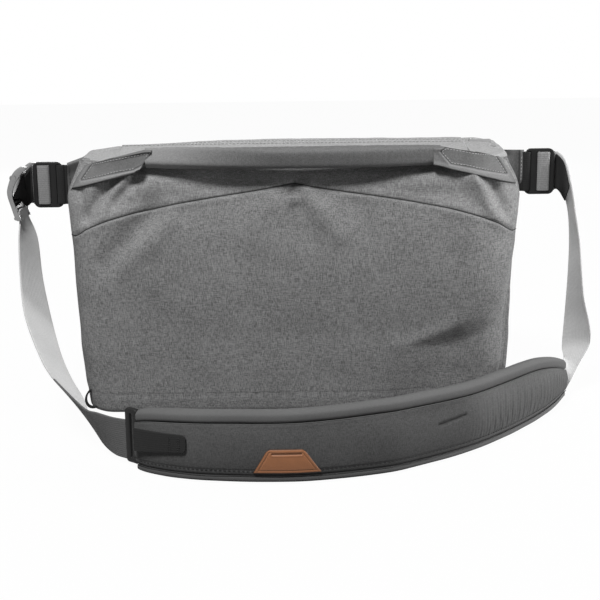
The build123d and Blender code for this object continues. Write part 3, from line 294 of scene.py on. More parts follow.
def flat_loop(count, edge):
    """A flat section from -1 to 1 both ways, with its narrow edges rounded; edge is their share of the width."""
    angles = np.linspace(-np.pi / 2, np.pi / 2, 7)
    turn = np.stack([1.0 - edge + edge * np.cos(angles), np.sin(angles)], axis=1)
    top = np.stack([np.linspace(1.0 - edge, -1.0 + edge, count)[1:-1], np.ones(count - 2)], axis=1)
    return np.vstack([turn, top, -turn, -top])


def band_piece(name, inner, outer, thickness, columns, cup=0.0, wave=0.0, seed=1):
    """A strip of cloth or webbing between two edges, with rounded edges, a hollow (cup) and soft waves."""
    centre = (inner + outer) / 2
    across = outer - inner
    width = np.linalg.norm(across, axis=1, keepdims=True)
    travel = unit(np.gradient(centre, axis=0))
    normal = unit(np.cross(travel, across))
    thickness = np.broadcast_to(np.asarray(thickness, float), (len(centre),)).copy()
    edge = float(thickness.max() / width.mean())
    loop = flat_loop(columns, min(edge, 0.2))
    thickness[[0, -1]] *= 0.55
    a, b = loop[:, 0], loop[:, 1]
    grid = (centre[:, None, :] + across[:, None, :] * a[None, :, None] / 2
            + normal[:, None, :] * (thickness[:, None, None] / 2) * b[None, :, None])
    off_edge = 1 - a[None, :] ** 2
    lift = cup * off_edge + wave * ripple(centre[:, None, :] + 0 * grid, 60.0, seed) * off_edge
    grid = grid + normal[:, None, :] * lift[:, :, None]
    along = np.repeat(run_lengths(centre)[:, None], len(loop), axis=1)
    return grid_piece(name, grid, {"along": along * MM, "across": (a[None, :] * width / 2) * MM})


def moulding(name, outline, holes, thickness, bevel, placement):
    """A flat moulded plate with rounded edges and holes, put in place by a matrix."""
    drawing = bpy.data.curves.new(name, "CURVE")
    drawing.dimensions = "2D"
    drawing.fill_mode = "BOTH"
    drawing.extrude = (thickness / 2 - bevel) * MM
    drawing.bevel_depth = bevel * MM
    drawing.bevel_resolution = 3
    drawing.offset = -bevel * MM
    for loop in [outline] + list(holes):
        spline = drawing.splines.new("POLY")
        spline.points.add(len(loop) - 1)
        for point, (x, y) in zip(spline.points, loop):
            point.co = (x * MM, y * MM, 0.0, 1.0)
        spline.use_cyclic_u = True
    drawn = linked_object(name, drawing)
    bpy.context.view_layer.update()
    mesh = bpy.data.meshes.new_from_object(drawn.evaluated_get(bpy.context.evaluated_depsgraph_get()))
    bpy.data.objects.remove(drawn)
    bpy.data.curves.remove(drawing)
    mesh.transform(placement)
    turn_faces_out(mesh, merge=1e-6)
    return shown_piece(name, mesh, 35)


def rod_piece(name, centre, reach, radius, sides=28, round_over=0.3):
    """A round rod along Y with softened ends."""
    turns = np.linspace(0, 2 * np.pi, sides, endpoint=False)
    rows = []
    for y, size in ((-reach, radius - round_over), (-reach + round_over, radius), (reach - round_over, radius),
                    (reach, radius - round_over)):
        rows.append(points_at(centre[0] + size * np.cos(turns), centre[1] + y, centre[2] + size * np.sin(turns)))
    return grid_piece(name, np.array(rows), crease_angle=40)


def thread_piece(name, lines, radius, stitch, gap, lift=0.15):
    """Sewing thread: short rounded stitches along lines of points with their normals."""
    points, faces = [], []
    sides = 6
    profile = ((0.0, 0.35), (0.2, 0.85), (0.5, 1.0), (0.8, 0.85), (1.0, 0.35))
    stitch = stitch * sizes().stitch / (PLAIN_STITCH * MM)
    for line, normals in lines:
        line = np.asarray(line, float)
        reach = run_lengths(line)
        count = max(1, int(reach[-1] / (stitch + gap)))
        for index in range(count):
            start = index * (stitch + gap)
            ends = [np.array([np.interp(at, reach, line[:, k]) for k in range(3)]) for at in (start, start + stitch)]
            up = unit(np.array([np.interp(start + stitch / 2, reach, np.asarray(normals)[:, k]) for k in range(3)]))
            travel = unit(ends[1] - ends[0])
            side = unit(np.cross(travel, up))
            first = len(points)
            for share, size in profile:
                bulge = lift + radius * 0.4 * math.sin(math.pi * share)
                middle = ends[0] + (ends[1] - ends[0]) * share + up * bulge
                for turn in range(sides):
                    angle = 2 * math.pi * turn / sides
                    points.append(middle + (side * math.cos(angle) + up * math.sin(angle)) * radius * size)
            faces += grid_faces(len(profile), sides, True, first)
            faces.append(tuple(first + turn for turn in range(sides)))
            faces.append(tuple(first + (len(profile) - 1) * sides + turn for turn in range(sides)))
    return mesh_piece(name, np.array(points), faces)


def cord_piece(name, line, radius, sides=8):
    """A thin round cord, such as piping or a drawn seam, along a line of points."""
    line = np.asarray(line, float)
    travel = unit(np.gradient(line, axis=0))
    up = np.array([0.0, 0.0, 1.0]) if abs(travel[:, 2]).mean() < 0.8 else np.array([0.0, 1.0, 0.0])
    side = unit(np.cross(travel, up))
    over = np.cross(side, travel)
    turns = np.linspace(0, 2 * np.pi, sides, endpoint=False)
    radii = np.full(len(line), radius, float)
    radii[0] = radii[-1] = radius * 0.5
    grid = (line[:, None, :] + radii[:, None, None]
            * (side[:, None, :] * np.cos(turns)[None, :, None] + over[:, None, :] * np.sin(turns)[None, :, None]))
    return grid_piece(name, grid)


def finish_piece(piece, body, slot, replaced=(), hinge=None, finish=None):
    """Gives a piece its finish, the body it rides on, and the parts it stands for; a piece given a hinge is left
    unattached, with its place baked into its mesh.
    """
    piece.data.materials.append(finish_named(finish or slot))
    if hinge:
        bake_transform(piece)
    else:
        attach(piece, body)
    if replaced:
        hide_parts(*replaced)
    return piece


# ---------------------------------------------------------------- finishes
class Value:
    """A number on its way through a node tree; arithmetic on it adds the nodes that work it out."""

    def __init__(self, wiring, socket):
        self.wiring = wiring
        self.socket = socket

    def maths(self, operation, *others, clamp=False):
        settings = {"operation": operation, "use_clamp": clamp}
        return self.wiring.node("ShaderNodeMath", settings, dict(enumerate((self,) + others)))

    def __add__(self, other):
        return self.maths("ADD", other)

    def __sub__(self, other):
        return self.maths("SUBTRACT", other)

    def __mul__(self, other):
        return self.maths("MULTIPLY", other)

    def __radd__(self, other):
        return self + other

    def __rsub__(self, other):
        return self * -1.0 + other

    def __rmul__(self, other):
        return self * other

    def clipped(self):
        return self.maths("ADD", 0.0, clamp=True)

    def sine(self):
        return self.maths("SINE")


class Wiring:
    """A node tree in the making: the floor's, the sky's or a finish's."""

    def __init__(self, tree):
        self.tree = tree

    def node(self, kind, settings=None, inputs=None, output=0):
        """Adds a node: its kind, its settings, then the values or links of its sockets."""
        node = self.tree.nodes.new(kind)
        for setting, value in (settings or {}).items():
            setattr(node, setting, value)
        for key, value in (inputs or {}).items():
            socket = self.socket(node.inputs, key)
            if isinstance(value, Value):
                self.tree.links.new(value.socket, socket)
            else:
                socket.default_value = value
        return Value(self, self.socket(node.outputs, output))

    @staticmethod
    def socket(sockets, key):
        if isinstance(key, int):
            return sockets[key]
        for socket in sockets:
            if socket.identifier == key:
                return socket
        return sockets[key]

    def light_path(self, *kinds):
        """1 on the kinds of ray that are named, 0 on all others."""
        rays = [self.node("ShaderNodeLightPath", output=kind) for kind in kinds]
        seen = rays[0]
        for ray in rays[1:]:
            seen = seen.maths("MAXIMUM", ray)
        return seen


class Finish(Wiring):
    """One material in the making: a principled surface and the nodes that lead to it."""

    def __init__(self, name, **constants):
        self.material = bpy.data.materials.new(name)
        self.material.use_nodes = True
        super().__init__(self.material.node_tree)
        self.surface = self.tree.nodes["Principled BSDF"]
        for socket, value in constants.items():
            self.surface.inputs[socket.replace("_", " ")].default_value = value

    def place(self):
        """Where a point of the piece is, in metres."""
        return self.node("ShaderNodeTexCoord", output="Object")

    def measure(self, name):
        """A measure that the mesh carries at each point."""
        return self.node("ShaderNodeAttribute", {"attribute_name": name}, output="Fac")

    def stretch(self, vector, scale):
        return self.node("ShaderNodeVectorMath", {"operation": "MULTIPLY"}, {0: vector, 1: scale})

    def noise(self, vector, scale, detail, roughness=0.5):
        return self.node("ShaderNodeTexNoise", None,
                         {"Vector": vector, "Scale": scale, "Detail": detail, "Roughness": roughness})

    def cells(self, vector, scale):
        return self.node("ShaderNodeTexVoronoi", None, {"Vector": vector, "Scale": scale}, "Distance")

    def mix(self, factor, low, high):
        return self.node("ShaderNodeMix", {"data_type": "RGBA"},
                         {"Factor_Float": factor, "A_Color": low, "B_Color": high}, "Result_Color")

    def tint(self, colour):
        """Feeds the surface's colour."""
        self.tree.links.new(colour.socket, self.surface.inputs["Base Color"])

    def gloss(self, value):
        self.tree.links.new(value.clipped().socket, self.surface.inputs["Roughness"])

    def relief(self, height, depth, strength):
        """Feeds the surface's bumps; depth is in millimetres."""
        bump = self.node("ShaderNodeBump", None, {"Height": height, "Distance": depth * MM, "Strength": strength})
        self.tree.links.new(bump.socket, self.surface.inputs["Normal"])


def colour(value):
    """A grey or a colour as the four numbers of a colour socket."""
    if np.isscalar(value):
        return (value, value, value, 1.0)
    return tuple(value[:3]) + (1.0,)


def shaded(value, share):
    return colour([part * share for part in colour(value)[:3]])


def heather_finish(name, shade, thread=1.0, contrast=1.9, spread=0.44, relief=0.3, upright=1.3):
    """Woven canvas of light and dark yarn: short upright and level flecks, and broad soft clouds."""
    finish = Finish(name, Roughness=0.92, Sheen_Roughness=0.5, Specular_IOR_Level=0.03)
    place = finish.place()
    fine = 1.0 / (thread * sizes().yarn)
    warp = finish.noise(finish.stretch(place, (fine, fine, fine * 0.13)), 1.0, 2.0, 0.6)
    weft = finish.noise(finish.stretch(place, (fine * 0.13, fine * 0.13, fine)), 1.0, 2.0, 0.6)
    clouds = finish.noise(place, 26.0, 2.0, 0.5)
    fleck = (0.5 + contrast * upright * (warp - 0.5) + contrast * (weft - 0.5) + 0.3 * (clouds - 0.5)).clipped()
    seam = finish.measure("seam")
    base = finish.mix(fleck, shaded(shade, 1 - spread), shaded(shade, 1 + spread))
    # The measure named below mixes in a paler copy of the cloth: a paler tone on some pieces, painted light on the
    # others.
    paler = finish.mix(fleck, shaded(shade, 1.75 - spread), shaded(shade, 1.85 + spread))
    base = finish.mix(finish.measure("pale_and_painted_light"), base, paler)
    # The seam measure darkens sewn seams and, on the side tabs, the patches and the top ends, painted shade.
    finish.tint(finish.mix(seam * 0.75, base, shaded(shade, 0.25)))
    finish.relief(warp * 0.5 + weft * 0.5, relief, 0.6)
    return finish.material


def webbing_finish(name, shade, contrast=0.16):
    """Tight webbing: fine ribs across it, four flat ridges along it and a denser edge."""
    finish = Finish(name, Roughness=0.78, Sheen_Weight=0.03, Specular_IOR_Level=0.15)
    along = finish.measure("along")
    across = finish.measure("across")
    place = finish.place()
    picks = (along * (2 * math.pi / (1.3 * MM))).sine() * 0.5 + 0.5
    ends = (across * (2 * math.pi / (1.9 * MM))).sine() * 0.5 + 0.5
    fleck = finish.noise(place, 900.0, 2.0, 0.6)
    wear = finish.noise(place, 38.0, 3.0, 0.55)
    factor = (picks * 0.25 + ends * 0.3 + (fleck - 0.5) * 1.2 + (wear - 0.5) * 0.7 + 0.22).clipped()
    finish.tint(finish.mix(factor, shaded(shade, 1 - contrast), shaded(shade, 1 + contrast)))
    finish.relief(picks * ends + fleck * 0.3, 0.3, 0.6)
    return finish.material


def plastic_finish(name, shade, roughness=0.5):
    """Moulded nylon with a faint orange-peel texture."""
    finish = Finish(name, Roughness=roughness, Specular_IOR_Level=0.16)
    place = finish.place()
    grain = finish.noise(place, 1400.0, 2.0, 0.6)
    clouds = finish.noise(place, 60.0, 3.0)
    finish.tint(finish.mix(clouds, shaded(shade, 0.8), shaded(shade, 1.25)))
    finish.gloss(roughness + (clouds - 0.5) * 0.25 + (grain - 0.5) * 0.12)
    finish.relief(grain, 0.05, 0.5)
    return finish.material


def metal_finish(name, shade, roughness=0.3):
    """Satin metal with fine brushing."""
    finish = Finish(name, Roughness=roughness, Metallic=1.0)
    place = finish.place()
    lines = finish.noise(finish.stretch(place, (1400.0, 60.0, 1400.0)), 1.0, 2.0, 0.6)
    clouds = finish.noise(place, 90.0, 3.0)
    finish.tint(finish.mix(lines * 0.5 + clouds * 0.5, shaded(shade, 0.82), shaded(shade, 1.15)))
    finish.gloss(roughness + (lines - 0.5) * 0.2 + (clouds - 0.5) * 0.2)
    finish.relief(lines, 0.03, 0.4)
    return finish.material


def leather_finish(name, shade):
    """Tan leather with a pebbled grain, mottled dye and dark burnished edges."""
    finish = Finish(name, Roughness=0.5, Specular_IOR_Level=0.4)
    place = finish.place()
    grain = finish.cells(place, 1500.0)
    pores = finish.noise(place, 2600.0, 2.0)
    mottle = finish.noise(place, 120.0, 4.0, 0.6)
    edge = finish.measure("seam")
    base = finish.mix(mottle, shaded(shade, 0.72), shaded(shade, 1.22))
    worn = finish.mix((grain * 0.5 + pores * 0.3).clipped(), base, shaded(shade, 0.9))
    finish.tint(finish.mix(edge, worn, shaded(shade, 0.12)))
    finish.gloss(0.42 + mottle * 0.2 + edge * 0.2)
    finish.relief(grain * 0.7 + pores * 0.3, 0.12, 0.6)
    return finish.material


def mesh_finish(name, shade):
    """Open air mesh: small round holes in rows."""
    finish = Finish(name, Roughness=0.85, Specular_IOR_Level=0.25)
    place = finish.place()
    holes = finish.cells(place, 420.0)
    fleck = finish.noise(place, 900.0, 2.0)
    factor = (holes * 1.6 + (fleck - 0.5) * 0.6).clipped()
    finish.tint(finish.mix(factor, shaded(shade, 0.35), shaded(shade, 1.3)))
    finish.relief(holes, 0.6, 0.8)
    return finish.material


FINISHES = {}
SMOOTH_CLOTH = {"thread": 0.5, "contrast": 1.0, "relief": 0.15}


def finish_named(name):
    """The finish of one material slot, made the first time it is asked for."""
    if name in FINISHES:
        return FINISHES[name]
    tones = bpy.context.scene.sling_bag_tones
    makers = {
        "shell_fabric": (heather_finish, tones.shell, {}),
        "trim_fabric": (heather_finish, tones.trim, {"thread": 0.6, "contrast": 1.6, "spread": 0.24}),
        # A darker copy of the trim cloth for the side tabs: partly their darker cloth, partly painted shade.
        "tab_fabric": (heather_finish, tones.trim * 0.27, {"thread": 0.6, "contrast": 1.6, "spread": 0.3}),
        "handle_fabric": (heather_finish, tones.handle,
                          {"thread": 0.6, "contrast": 1.6, "spread": 0.25, "upright": 1.8}),
        "lining_fabric": (heather_finish, tones.lining, {**SMOOTH_CLOTH, "contrast": 0.9, "spread": 0.12}),
        "pad_fabric": (heather_finish, tones.pad, {"thread": 0.7, "contrast": 1.5, "spread": 0.3, "upright": 1.4}),
        "pad_border": (heather_finish, tones.pad_border, {**SMOOTH_CLOTH, "spread": 0.15}),
        "pad_hem": (heather_finish, tones.pad_border * 0.7, {**SMOOTH_CLOTH, "spread": 0.2}),
        "pad_mesh": (mesh_finish, tones.pad, {}),
        "webbing_light": (webbing_finish, tones.webbing, {}),
        # A darker copy of the light webbing: painted shade on the webbing inside the frames' slots.
        "webbing_mid": (webbing_finish, shaded(tones.webbing, 0.45)[:3], {"contrast": 0.3}),
        "webbing_dark": (webbing_finish, tones.dark_webbing, {"contrast": 0.3}),
        # A darker tone for the same webbing: painted shade on the turned-over tail, whose back faces away from the
        # light.
        "webbing_turned": (webbing_finish, tones.turned_webbing_shade, {"contrast": 0.25}),
        "zip_tape": (heather_finish, 0.03, {**SMOOTH_CLOTH, "spread": 0.3}),
        "black_plastic": (plastic_finish, tones.plastic, {}),
        "satin_metal": (metal_finish, tones.metal, {}),
        "steel": (metal_finish, 0.42, {"roughness": 0.36}),
        "leather": (leather_finish, tones.leather, {}),
        "thread_dark": (plastic_finish, 0.02, {"roughness": 0.7}),
        "thread_light": (plastic_finish, 0.36, {"roughness": 0.8}),
        "thread_trim": (plastic_finish, 0.20, {"roughness": 0.8}),
        "thread_mid": (plastic_finish, 0.09, {"roughness": 0.8}),
    }
    maker, shade, settings = makers[name]
    FINISHES[name] = maker(name, shade, **settings)
    return FINISHES[name]


# ---------------------------------------------------------------- body of the bag
SHELL_SHARES = (graded(210, 0.55), graded(46, 0.5))
FRONT_COUNT, SIDE_COUNT = (len(shares) - 1 for shares in SHELL_SHARES)
SEAM_COLUMNS = (0, FRONT_COUNT, FRONT_COUNT + SIDE_COUNT, 2 * FRONT_COUNT + SIDE_COUNT)
# Heights of the rows round the base edge, from the floor up, and numbers of rows below and above the chevron.
BASE_LEVELS = [SHOWN_ROUND * (1 - math.cos(angle)) for angle in np.radians(np.linspace(0, 88, 11))] + [14.0, 17.0]
LOWER_ROWS = 86
UPPER_ROWS = 34


def half_width(z):
    """Half the width of the bag at a height, with the shoulder line eased in."""
    z = np.asarray(z, float)
    total = 0.0
    slope = (SHOULDER[0][0] - SHOULDER[1][0]) / (SHOULDER[1][1] - SHOULDER[0][1])
    shifts = (-10.0, -5.0, 0.0, 5.0, 10.0)
    for shift in shifts:
        level = z + shift
        side = np.interp(level, LEVEL_HEIGHT, LEVEL_WIDTH)
        shoulder = SHOULDER[0][0] - (level - SHOULDER[0][1]) * slope
        total = total + np.minimum(side, shoulder)
    return total / len(shifts)


def half_depth(z):
    """Half the depth of the bag at a height, eased between its levels."""
    z = np.asarray(z, float)
    shifts = (-12.0, -6.0, 0.0, 6.0, 12.0)
    return sum(np.interp(z + shift, LEVEL_HEIGHT, LEVEL_DEPTH) for shift in shifts) / len(shifts)


def corner_pinch(z):
    """How far the cloth draws in at the upright corners, away from the middle of the sides."""
    return np.interp(z, *PINCH) * sizes().pinch / MM


def front_depth(x, z):
    """How far the front stands from the middle of the bag, round its upright corners too."""
    wide = half_width(z) - corner_pinch(z)
    over = np.clip(np.abs(x) - (wide - CORNER_ROUND), 0, CORNER_ROUND)
    return half_depth(z) - CORNER_ROUND + np.sqrt(np.maximum(0, CORNER_ROUND**2 - over**2))


def chevron_height(x):
    """Height of the chevron seam at a distance from the middle."""
    xs = [point[0] for point in CHEVRON]
    zs = [point[1] for point in CHEVRON]
    near = np.clip(np.abs(x), 0.0, xs[-1])
    shifts = (-8, -4, 0, 4, 8)
    eased = sum(np.interp(np.clip(near + shift, 0, xs[-1]), xs, zs) for shift in shifts) / len(shifts)
    return eased + 0.6 * hump(near, 9)


def ring_points(z, inset, shares):
    """One level of the body: its points from the left side seam round the front, the right side and the back.

    The inset is how far inside the body's outer face the ring runs; the shares say how its points are spread along
    the front and along a side.
    """
    drawn_in = inset
    edge_round = SHOWN_ROUND if inset < 8 else BASE_ROUND
    round_left = edge_round - inset
    if z < edge_round:
        drawn_in = inset + round_left - math.sqrt(max(0.0, round_left**2 - (edge_round - z) ** 2))
    wide = float(half_width(z)) - drawn_in
    deep = float(half_depth(z)) - drawn_in
    corner = max(CORNER_ROUND - drawn_in, 6.0)
    arc = np.radians(np.linspace(0, 90, 40))
    left = np.stack([-(wide - corner) - corner * np.cos(arc), -(deep - corner) - corner * np.sin(arc)], axis=1)
    right = np.stack([-left[::-1, 0], left[::-1, 1]], axis=1)
    half = np.vstack([[(-wide, 0.0)], left, right, [(wide, 0.0)]])
    reach = run_lengths(half)
    seam_y = -min(SIDE_SEAM, deep - 2.0)
    middle = len(half) // 2
    start = np.interp(-seam_y, -half[:middle, 1], reach[:middle])
    end = reach[-1] - start
    at_front = start + (end - start) * shares[0]
    front = np.stack([np.interp(at_front, reach, half[:, k]) for k in range(2)], axis=1)
    at_side = start * (2 * np.abs(shares[1] - 0.5))
    side_x = np.interp(at_side, reach, half[:, 0])
    side_y = np.interp(at_side, reach, half[:, 1]) * np.sign(0.5 - shares[1])
    right_side = np.stack([-side_x, side_y], axis=1)
    back = front[::-1] * (1, -1)
    left_side = right_side[::-1] * (-1, 1)
    return np.vstack([front[:-1], right_side[:-1], back[:-1], left_side[:-1]])


# Soft ridges (positive) and valleys (negative) of the front cloth: ends of the fold, half its width, its height.
FRONT_FOLDS = (
    ((-171, 233), (-203, 196), 7.5, -7.5),
    ((-150, 231), (-176, 208), 6.0, -4.6),
    ((-160, 231), (-191, 200), 6.0, 4.0),
    ((-208, 220), (-207, 195), 5.0, -2.2),
    ((-134, 200), (-186, 153), 13.0, -7.0),
    ((-117, 190), (-164, 150), 11.0, 4.0),
    ((-95, 205), (-120, 178), 9.0, -1.8),
    ((172, 231), (200, 192), 7.0, 5.5),
    ((186, 232), (209, 196), 6.0, -6.0),
    ((155, 226), (178, 200), 7.0, -1.4),
    ((12, 219), (26, 188), 7.0, 4.2),
    ((4, 201), (18, 170), 8.0, -4.6),
    ((30, 201), (42, 174), 8.0, 3.2),
    ((1.6, 226), (-4, 214), 2.2, -2.4),
    ((-22, 214), (-40, 180), 13.0, 3.2),
    ((60, 205), (74, 176), 11.0, -2.6),
)


def body_grid():
    """The whole outside of the body as a grid, with how near each point is to a seam."""
    levels = np.unique(np.concatenate([np.linspace(0, 24, 49), np.linspace(24, 254, 120)]))
    table = np.array([ring_points(level, 0.0, SHELL_SHARES) for level in levels])
    columns = table.shape[1]
    near = table[np.argmin(abs(levels - 195))]
    seam_height = np.full(columns, CHEVRON[-1][1])
    seam_height[:FRONT_COUNT] = chevron_height(near[:FRONT_COUNT, 0])
    heights = [np.full(columns, height) for height in BASE_LEVELS]
    heights += [BASE_SEAM + (seam_height - BASE_SEAM) * share for share in graded(LOWER_ROWS, 0.7)]
    heights += [seam_height + (RIM - seam_height) * share for share in graded(UPPER_ROWS, 0.55)[1:]]
    heights = np.array(heights)
    grid = np.zeros(heights.shape + (3,))
    for column in range(columns):
        for axis in range(2):
            grid[:, column, axis] = np.interp(heights[:, column], levels, table[:, column, axis])
    grid[:, :, 2] = heights
    return grid, seam_height


def grid_normals(grid):
    """Outward directions of a grid whose columns go round and whose rows go up."""
    beside = np.roll(grid, -1, axis=1) - np.roll(grid, 1, axis=1)
    return unit(np.cross(beside, np.gradient(grid, axis=0)))


def front_swell(x, z):
    """How far the front stands proud of its flat board: full in the belly, slack under the chevron."""
    belly = np.interp(z, *FULLNESS) * sizes().fullness / MM
    under_handle = 4.5 * ease(60, 115, np.abs(x)) * ease(0, 40, 215 - np.abs(x)) * hump(z - 231, 13)
    return belly * ease(0, 60, 226 - np.abs(x)) * (1 - 0.25 * hump(x, 60) * ease(205, 225, z)) + under_handle


def body_relief(grid, seam_height):
    """Seams, folds and fullness of the cloth, as a height along the outward direction and a seam mask."""
    x, y, z = grid[..., 0], grid[..., 1], grid[..., 2]
    on_front = ease(40, 52, -y)
    height = front_swell(x, z) * on_front
    level = z - seam_height[None, :]
    chevron = on_front * ease(1, 6, 222 - np.abs(x))
    height += chevron * (-sizes().seam_depth / MM * hump(level, 1.5) + 0.45 * hump(level + 4.0, 3.0)
                         + 0.4 * hump(level - 4.5, 3.0))
    height += -1.2 * chevron * ease(0, 3, level) * hump(level, 30)
    seam = chevron * hump(level, 0.8)
    side_gap = np.full(x.shape, 99.0)
    for column in SEAM_COLUMNS:
        side_gap = np.minimum(side_gap, np.linalg.norm(grid - grid[:, column:column + 1], axis=2))
    side = ease(20, 30, z)
    height += side * (-1.2 * hump(side_gap, 1.4) + 0.6 * hump(side_gap - 4, 2.5))
    seam = np.maximum(seam, side * hump(side_gap, 0.9) * 0.4)
    height += -0.25 * hump(z - BASE_SEAM, 1.3)
    for start, end, width, rise in FRONT_FOLDS:
        gap, share = segment_distance(x, z, start, end)
        taper = np.where(share < 0, hump(share, 0.5), 1.0) * (1 - 0.4 * np.clip(share, 0, 1))
        height += on_front * sizes().crease * rise * hump(gap, width) * taper
    # the light lower right corner, where the cloth falls away towards the side
    edge_x = np.interp(z, [0, 67, 82, 93, 115, 148, 176], [60, 102, 141, 162, 183, 203, 217])
    away = ease(0, 60, x - edge_x) * ease(0, 20, 178 - z)
    height -= on_front * 7.0 * away
    height += on_front * 1.6 * hump(x - edge_x, 14) * ease(0, 20, 176 - z) * ease(40, 90, z)
    soft = ripple(grid, 85.0, 5) * 0.55 + ripple(grid, 34.0, 8) * 0.22
    height += soft * ease(24, 50, z)
    # the cloth lies flat under the handle's patches
    off_middle = np.abs(x)
    ends, lows, highs = np.array(PATCH_STATIONS)[::-1, :3].T
    covered = on_front * ease(132, 139, off_middle) * ease(0.5, 4, z - np.interp(off_middle, ends, lows))
    covered = covered * ease(0.5, 4, np.interp(off_middle, ends, highs) - z) * (off_middle < 215)
    height += covered * (front_swell(x, z) - 1.8 - height)
    height *= ease(0, 6, RIM - z) * 0.9 + 0.1
    return height, np.clip(seam, 0, 1)


def build_body_shell():
    """The sewn outside of the bag in one skin, with its seams, folds and padded rim."""
    grid, seam_height = body_grid()
    relief, seam = body_relief(grid, seam_height)
    cloth = grid + grid_normals(grid) * relief[..., None]
    near_corner = ease(4, 38, np.abs(cloth[..., 1])) * ease(140, 200, np.abs(cloth[..., 0]))
    cloth[..., 0] -= np.sign(cloth[..., 0]) * corner_pinch(cloth[..., 2]) * near_corner
    cloth[..., 2] = np.maximum(cloth[..., 2], 0.0)
    rim_rows = [at_height(ring_points(RIM, inset, SHELL_SHARES), RIM + 0.3 + drop * 0.6) for inset, drop in
                ((1.5, 0.0), (1.5, -0.5), (3.0, -0.7), (6.0, -0.7), (9.0, -0.8), (10.6, -1.4), (11.2, -4.0))]
    floor_rows = [at_height(cloth[0, :, :2] * share, 0.0) for share in (0.1, 0.3, 0.5, 0.7, 0.85, 0.95)]
    full = np.vstack([np.array(floor_rows), cloth, np.array(rim_rows)])
    seam_rows = np.pad(seam, ((len(floor_rows), len(rim_rows)), (0, 0)))
    rows, columns = full.shape[:2]
    faces = grid_faces(rows, columns, True)
    faces.append(tuple(range(columns)))
    level = full[..., 2] - chevron_height(full[..., 0])
    # Painted light: the yoke above the chevron is drawn paler, for the light that falls on its upturned cloth.
    yoke = 0.3 * ease(0.5, 2.0, level) * ease(40, 50, -full[..., 1]) * ease(0, 6, 246 - full[..., 2])
    piece = mesh_piece("body_shell", full.reshape(-1, 3), faces, {"seam": seam_rows, "pale_and_painted_light": yoke})
    turn_outwards(piece)
    finish_piece(piece, "bag", "shell_fabric",
                 ("base_panel", "front_panel", "front_yoke", "back_panel", "left_side_panel", "right_side_panel",
                  "base_foam", "front_foam", "back_foam", "left_foam", "right_foam"))
    base_row = len(floor_rows) + len(BASE_LEVELS)
    seam_line = full[base_row + LOWER_ROWS - 1, :FRONT_COUNT + 1] + (0.0, -0.15, 0.0)
    line = cord_piece("chevron_seam", spaced(seam_line, 320), 0.42)
    finish_piece(line, "bag", "shell_fabric", finish="thread_dark")
    for number, column in enumerate(SEAM_COLUMNS, 1):
        line = cord_piece(f"side_seam_{number}", spaced(full[base_row:-len(rim_rows), column], 120), 0.3)
        finish_piece(line, "bag", "shell_fabric", finish="thread_mid")


def turn_outwards(piece):
    """Makes an open skin's faces look away from the middle of the bag."""
    mesh = piece.data
    middle = Vector((0.0, 0.0, 0.12))
    votes = sum(1 if (p.center - middle).dot(p.normal) > 0 else -1 for p in list(mesh.polygons)[::97])
    if votes < 0:
        mesh.flip_normals()


# ---------------------------------------------------------------- top of the bag
SLIT = -4.0
FLAP_REACH = 170.0
TAPE_HEIGHT = 254.4
# Places across the top and how far it has settled there, as shares of the sag that is set.
SAG = ((-206, -194, -179, -158, -128, -97, -66, -30, 90, 150, 168, 184, 199, 210),
       (1.0, 0.84, 0.59, 0.46, 0.34, 0.21, 0.1, 0.03, 0.06, 0.13, 0.13, 0.15, 0.36, 0.46))
CROWN_Y = (-62.0, -57.6, -50.0, -30.0, -7.0, -1.0, 15.0, 35.0, 50.0, 57.6, 62.0)
CROWN_Z = (247.6, 251.2, 253.5, 256.6, 260.0, 260.1, 262.0, 258.2, 254.0, 251.2, 247.6)


def crown_height(y):
    """Height of the closed top at a depth."""
    fine_y = np.linspace(-62, 62, 125)
    fine_z = np.interp(fine_y, CROWN_Y, CROWN_Z)
    kernel = np.array([1, 2, 3, 2, 1]) / 9.0
    soft = np.convolve(np.pad(fine_z, 2, mode="edge"), kernel, mode="valid")
    return np.interp(y, fine_y, soft)


def top_sag(x):
    """How far the closed top has settled at a place across."""
    return np.interp(x, *SAG) * sizes().sag / MM


def flap_sag(x, y):
    """The same for the flaps, which stay above the zip between them."""
    off_slit = np.where(y < SLIT, 0.15 + 0.85 * ease(10, 42, SLIT - y), 0.35 + 0.65 * ease(2, 15, y - SLIT))
    return top_sag(x) * off_slit * ease(0, 14, 57.6 - np.abs(y))


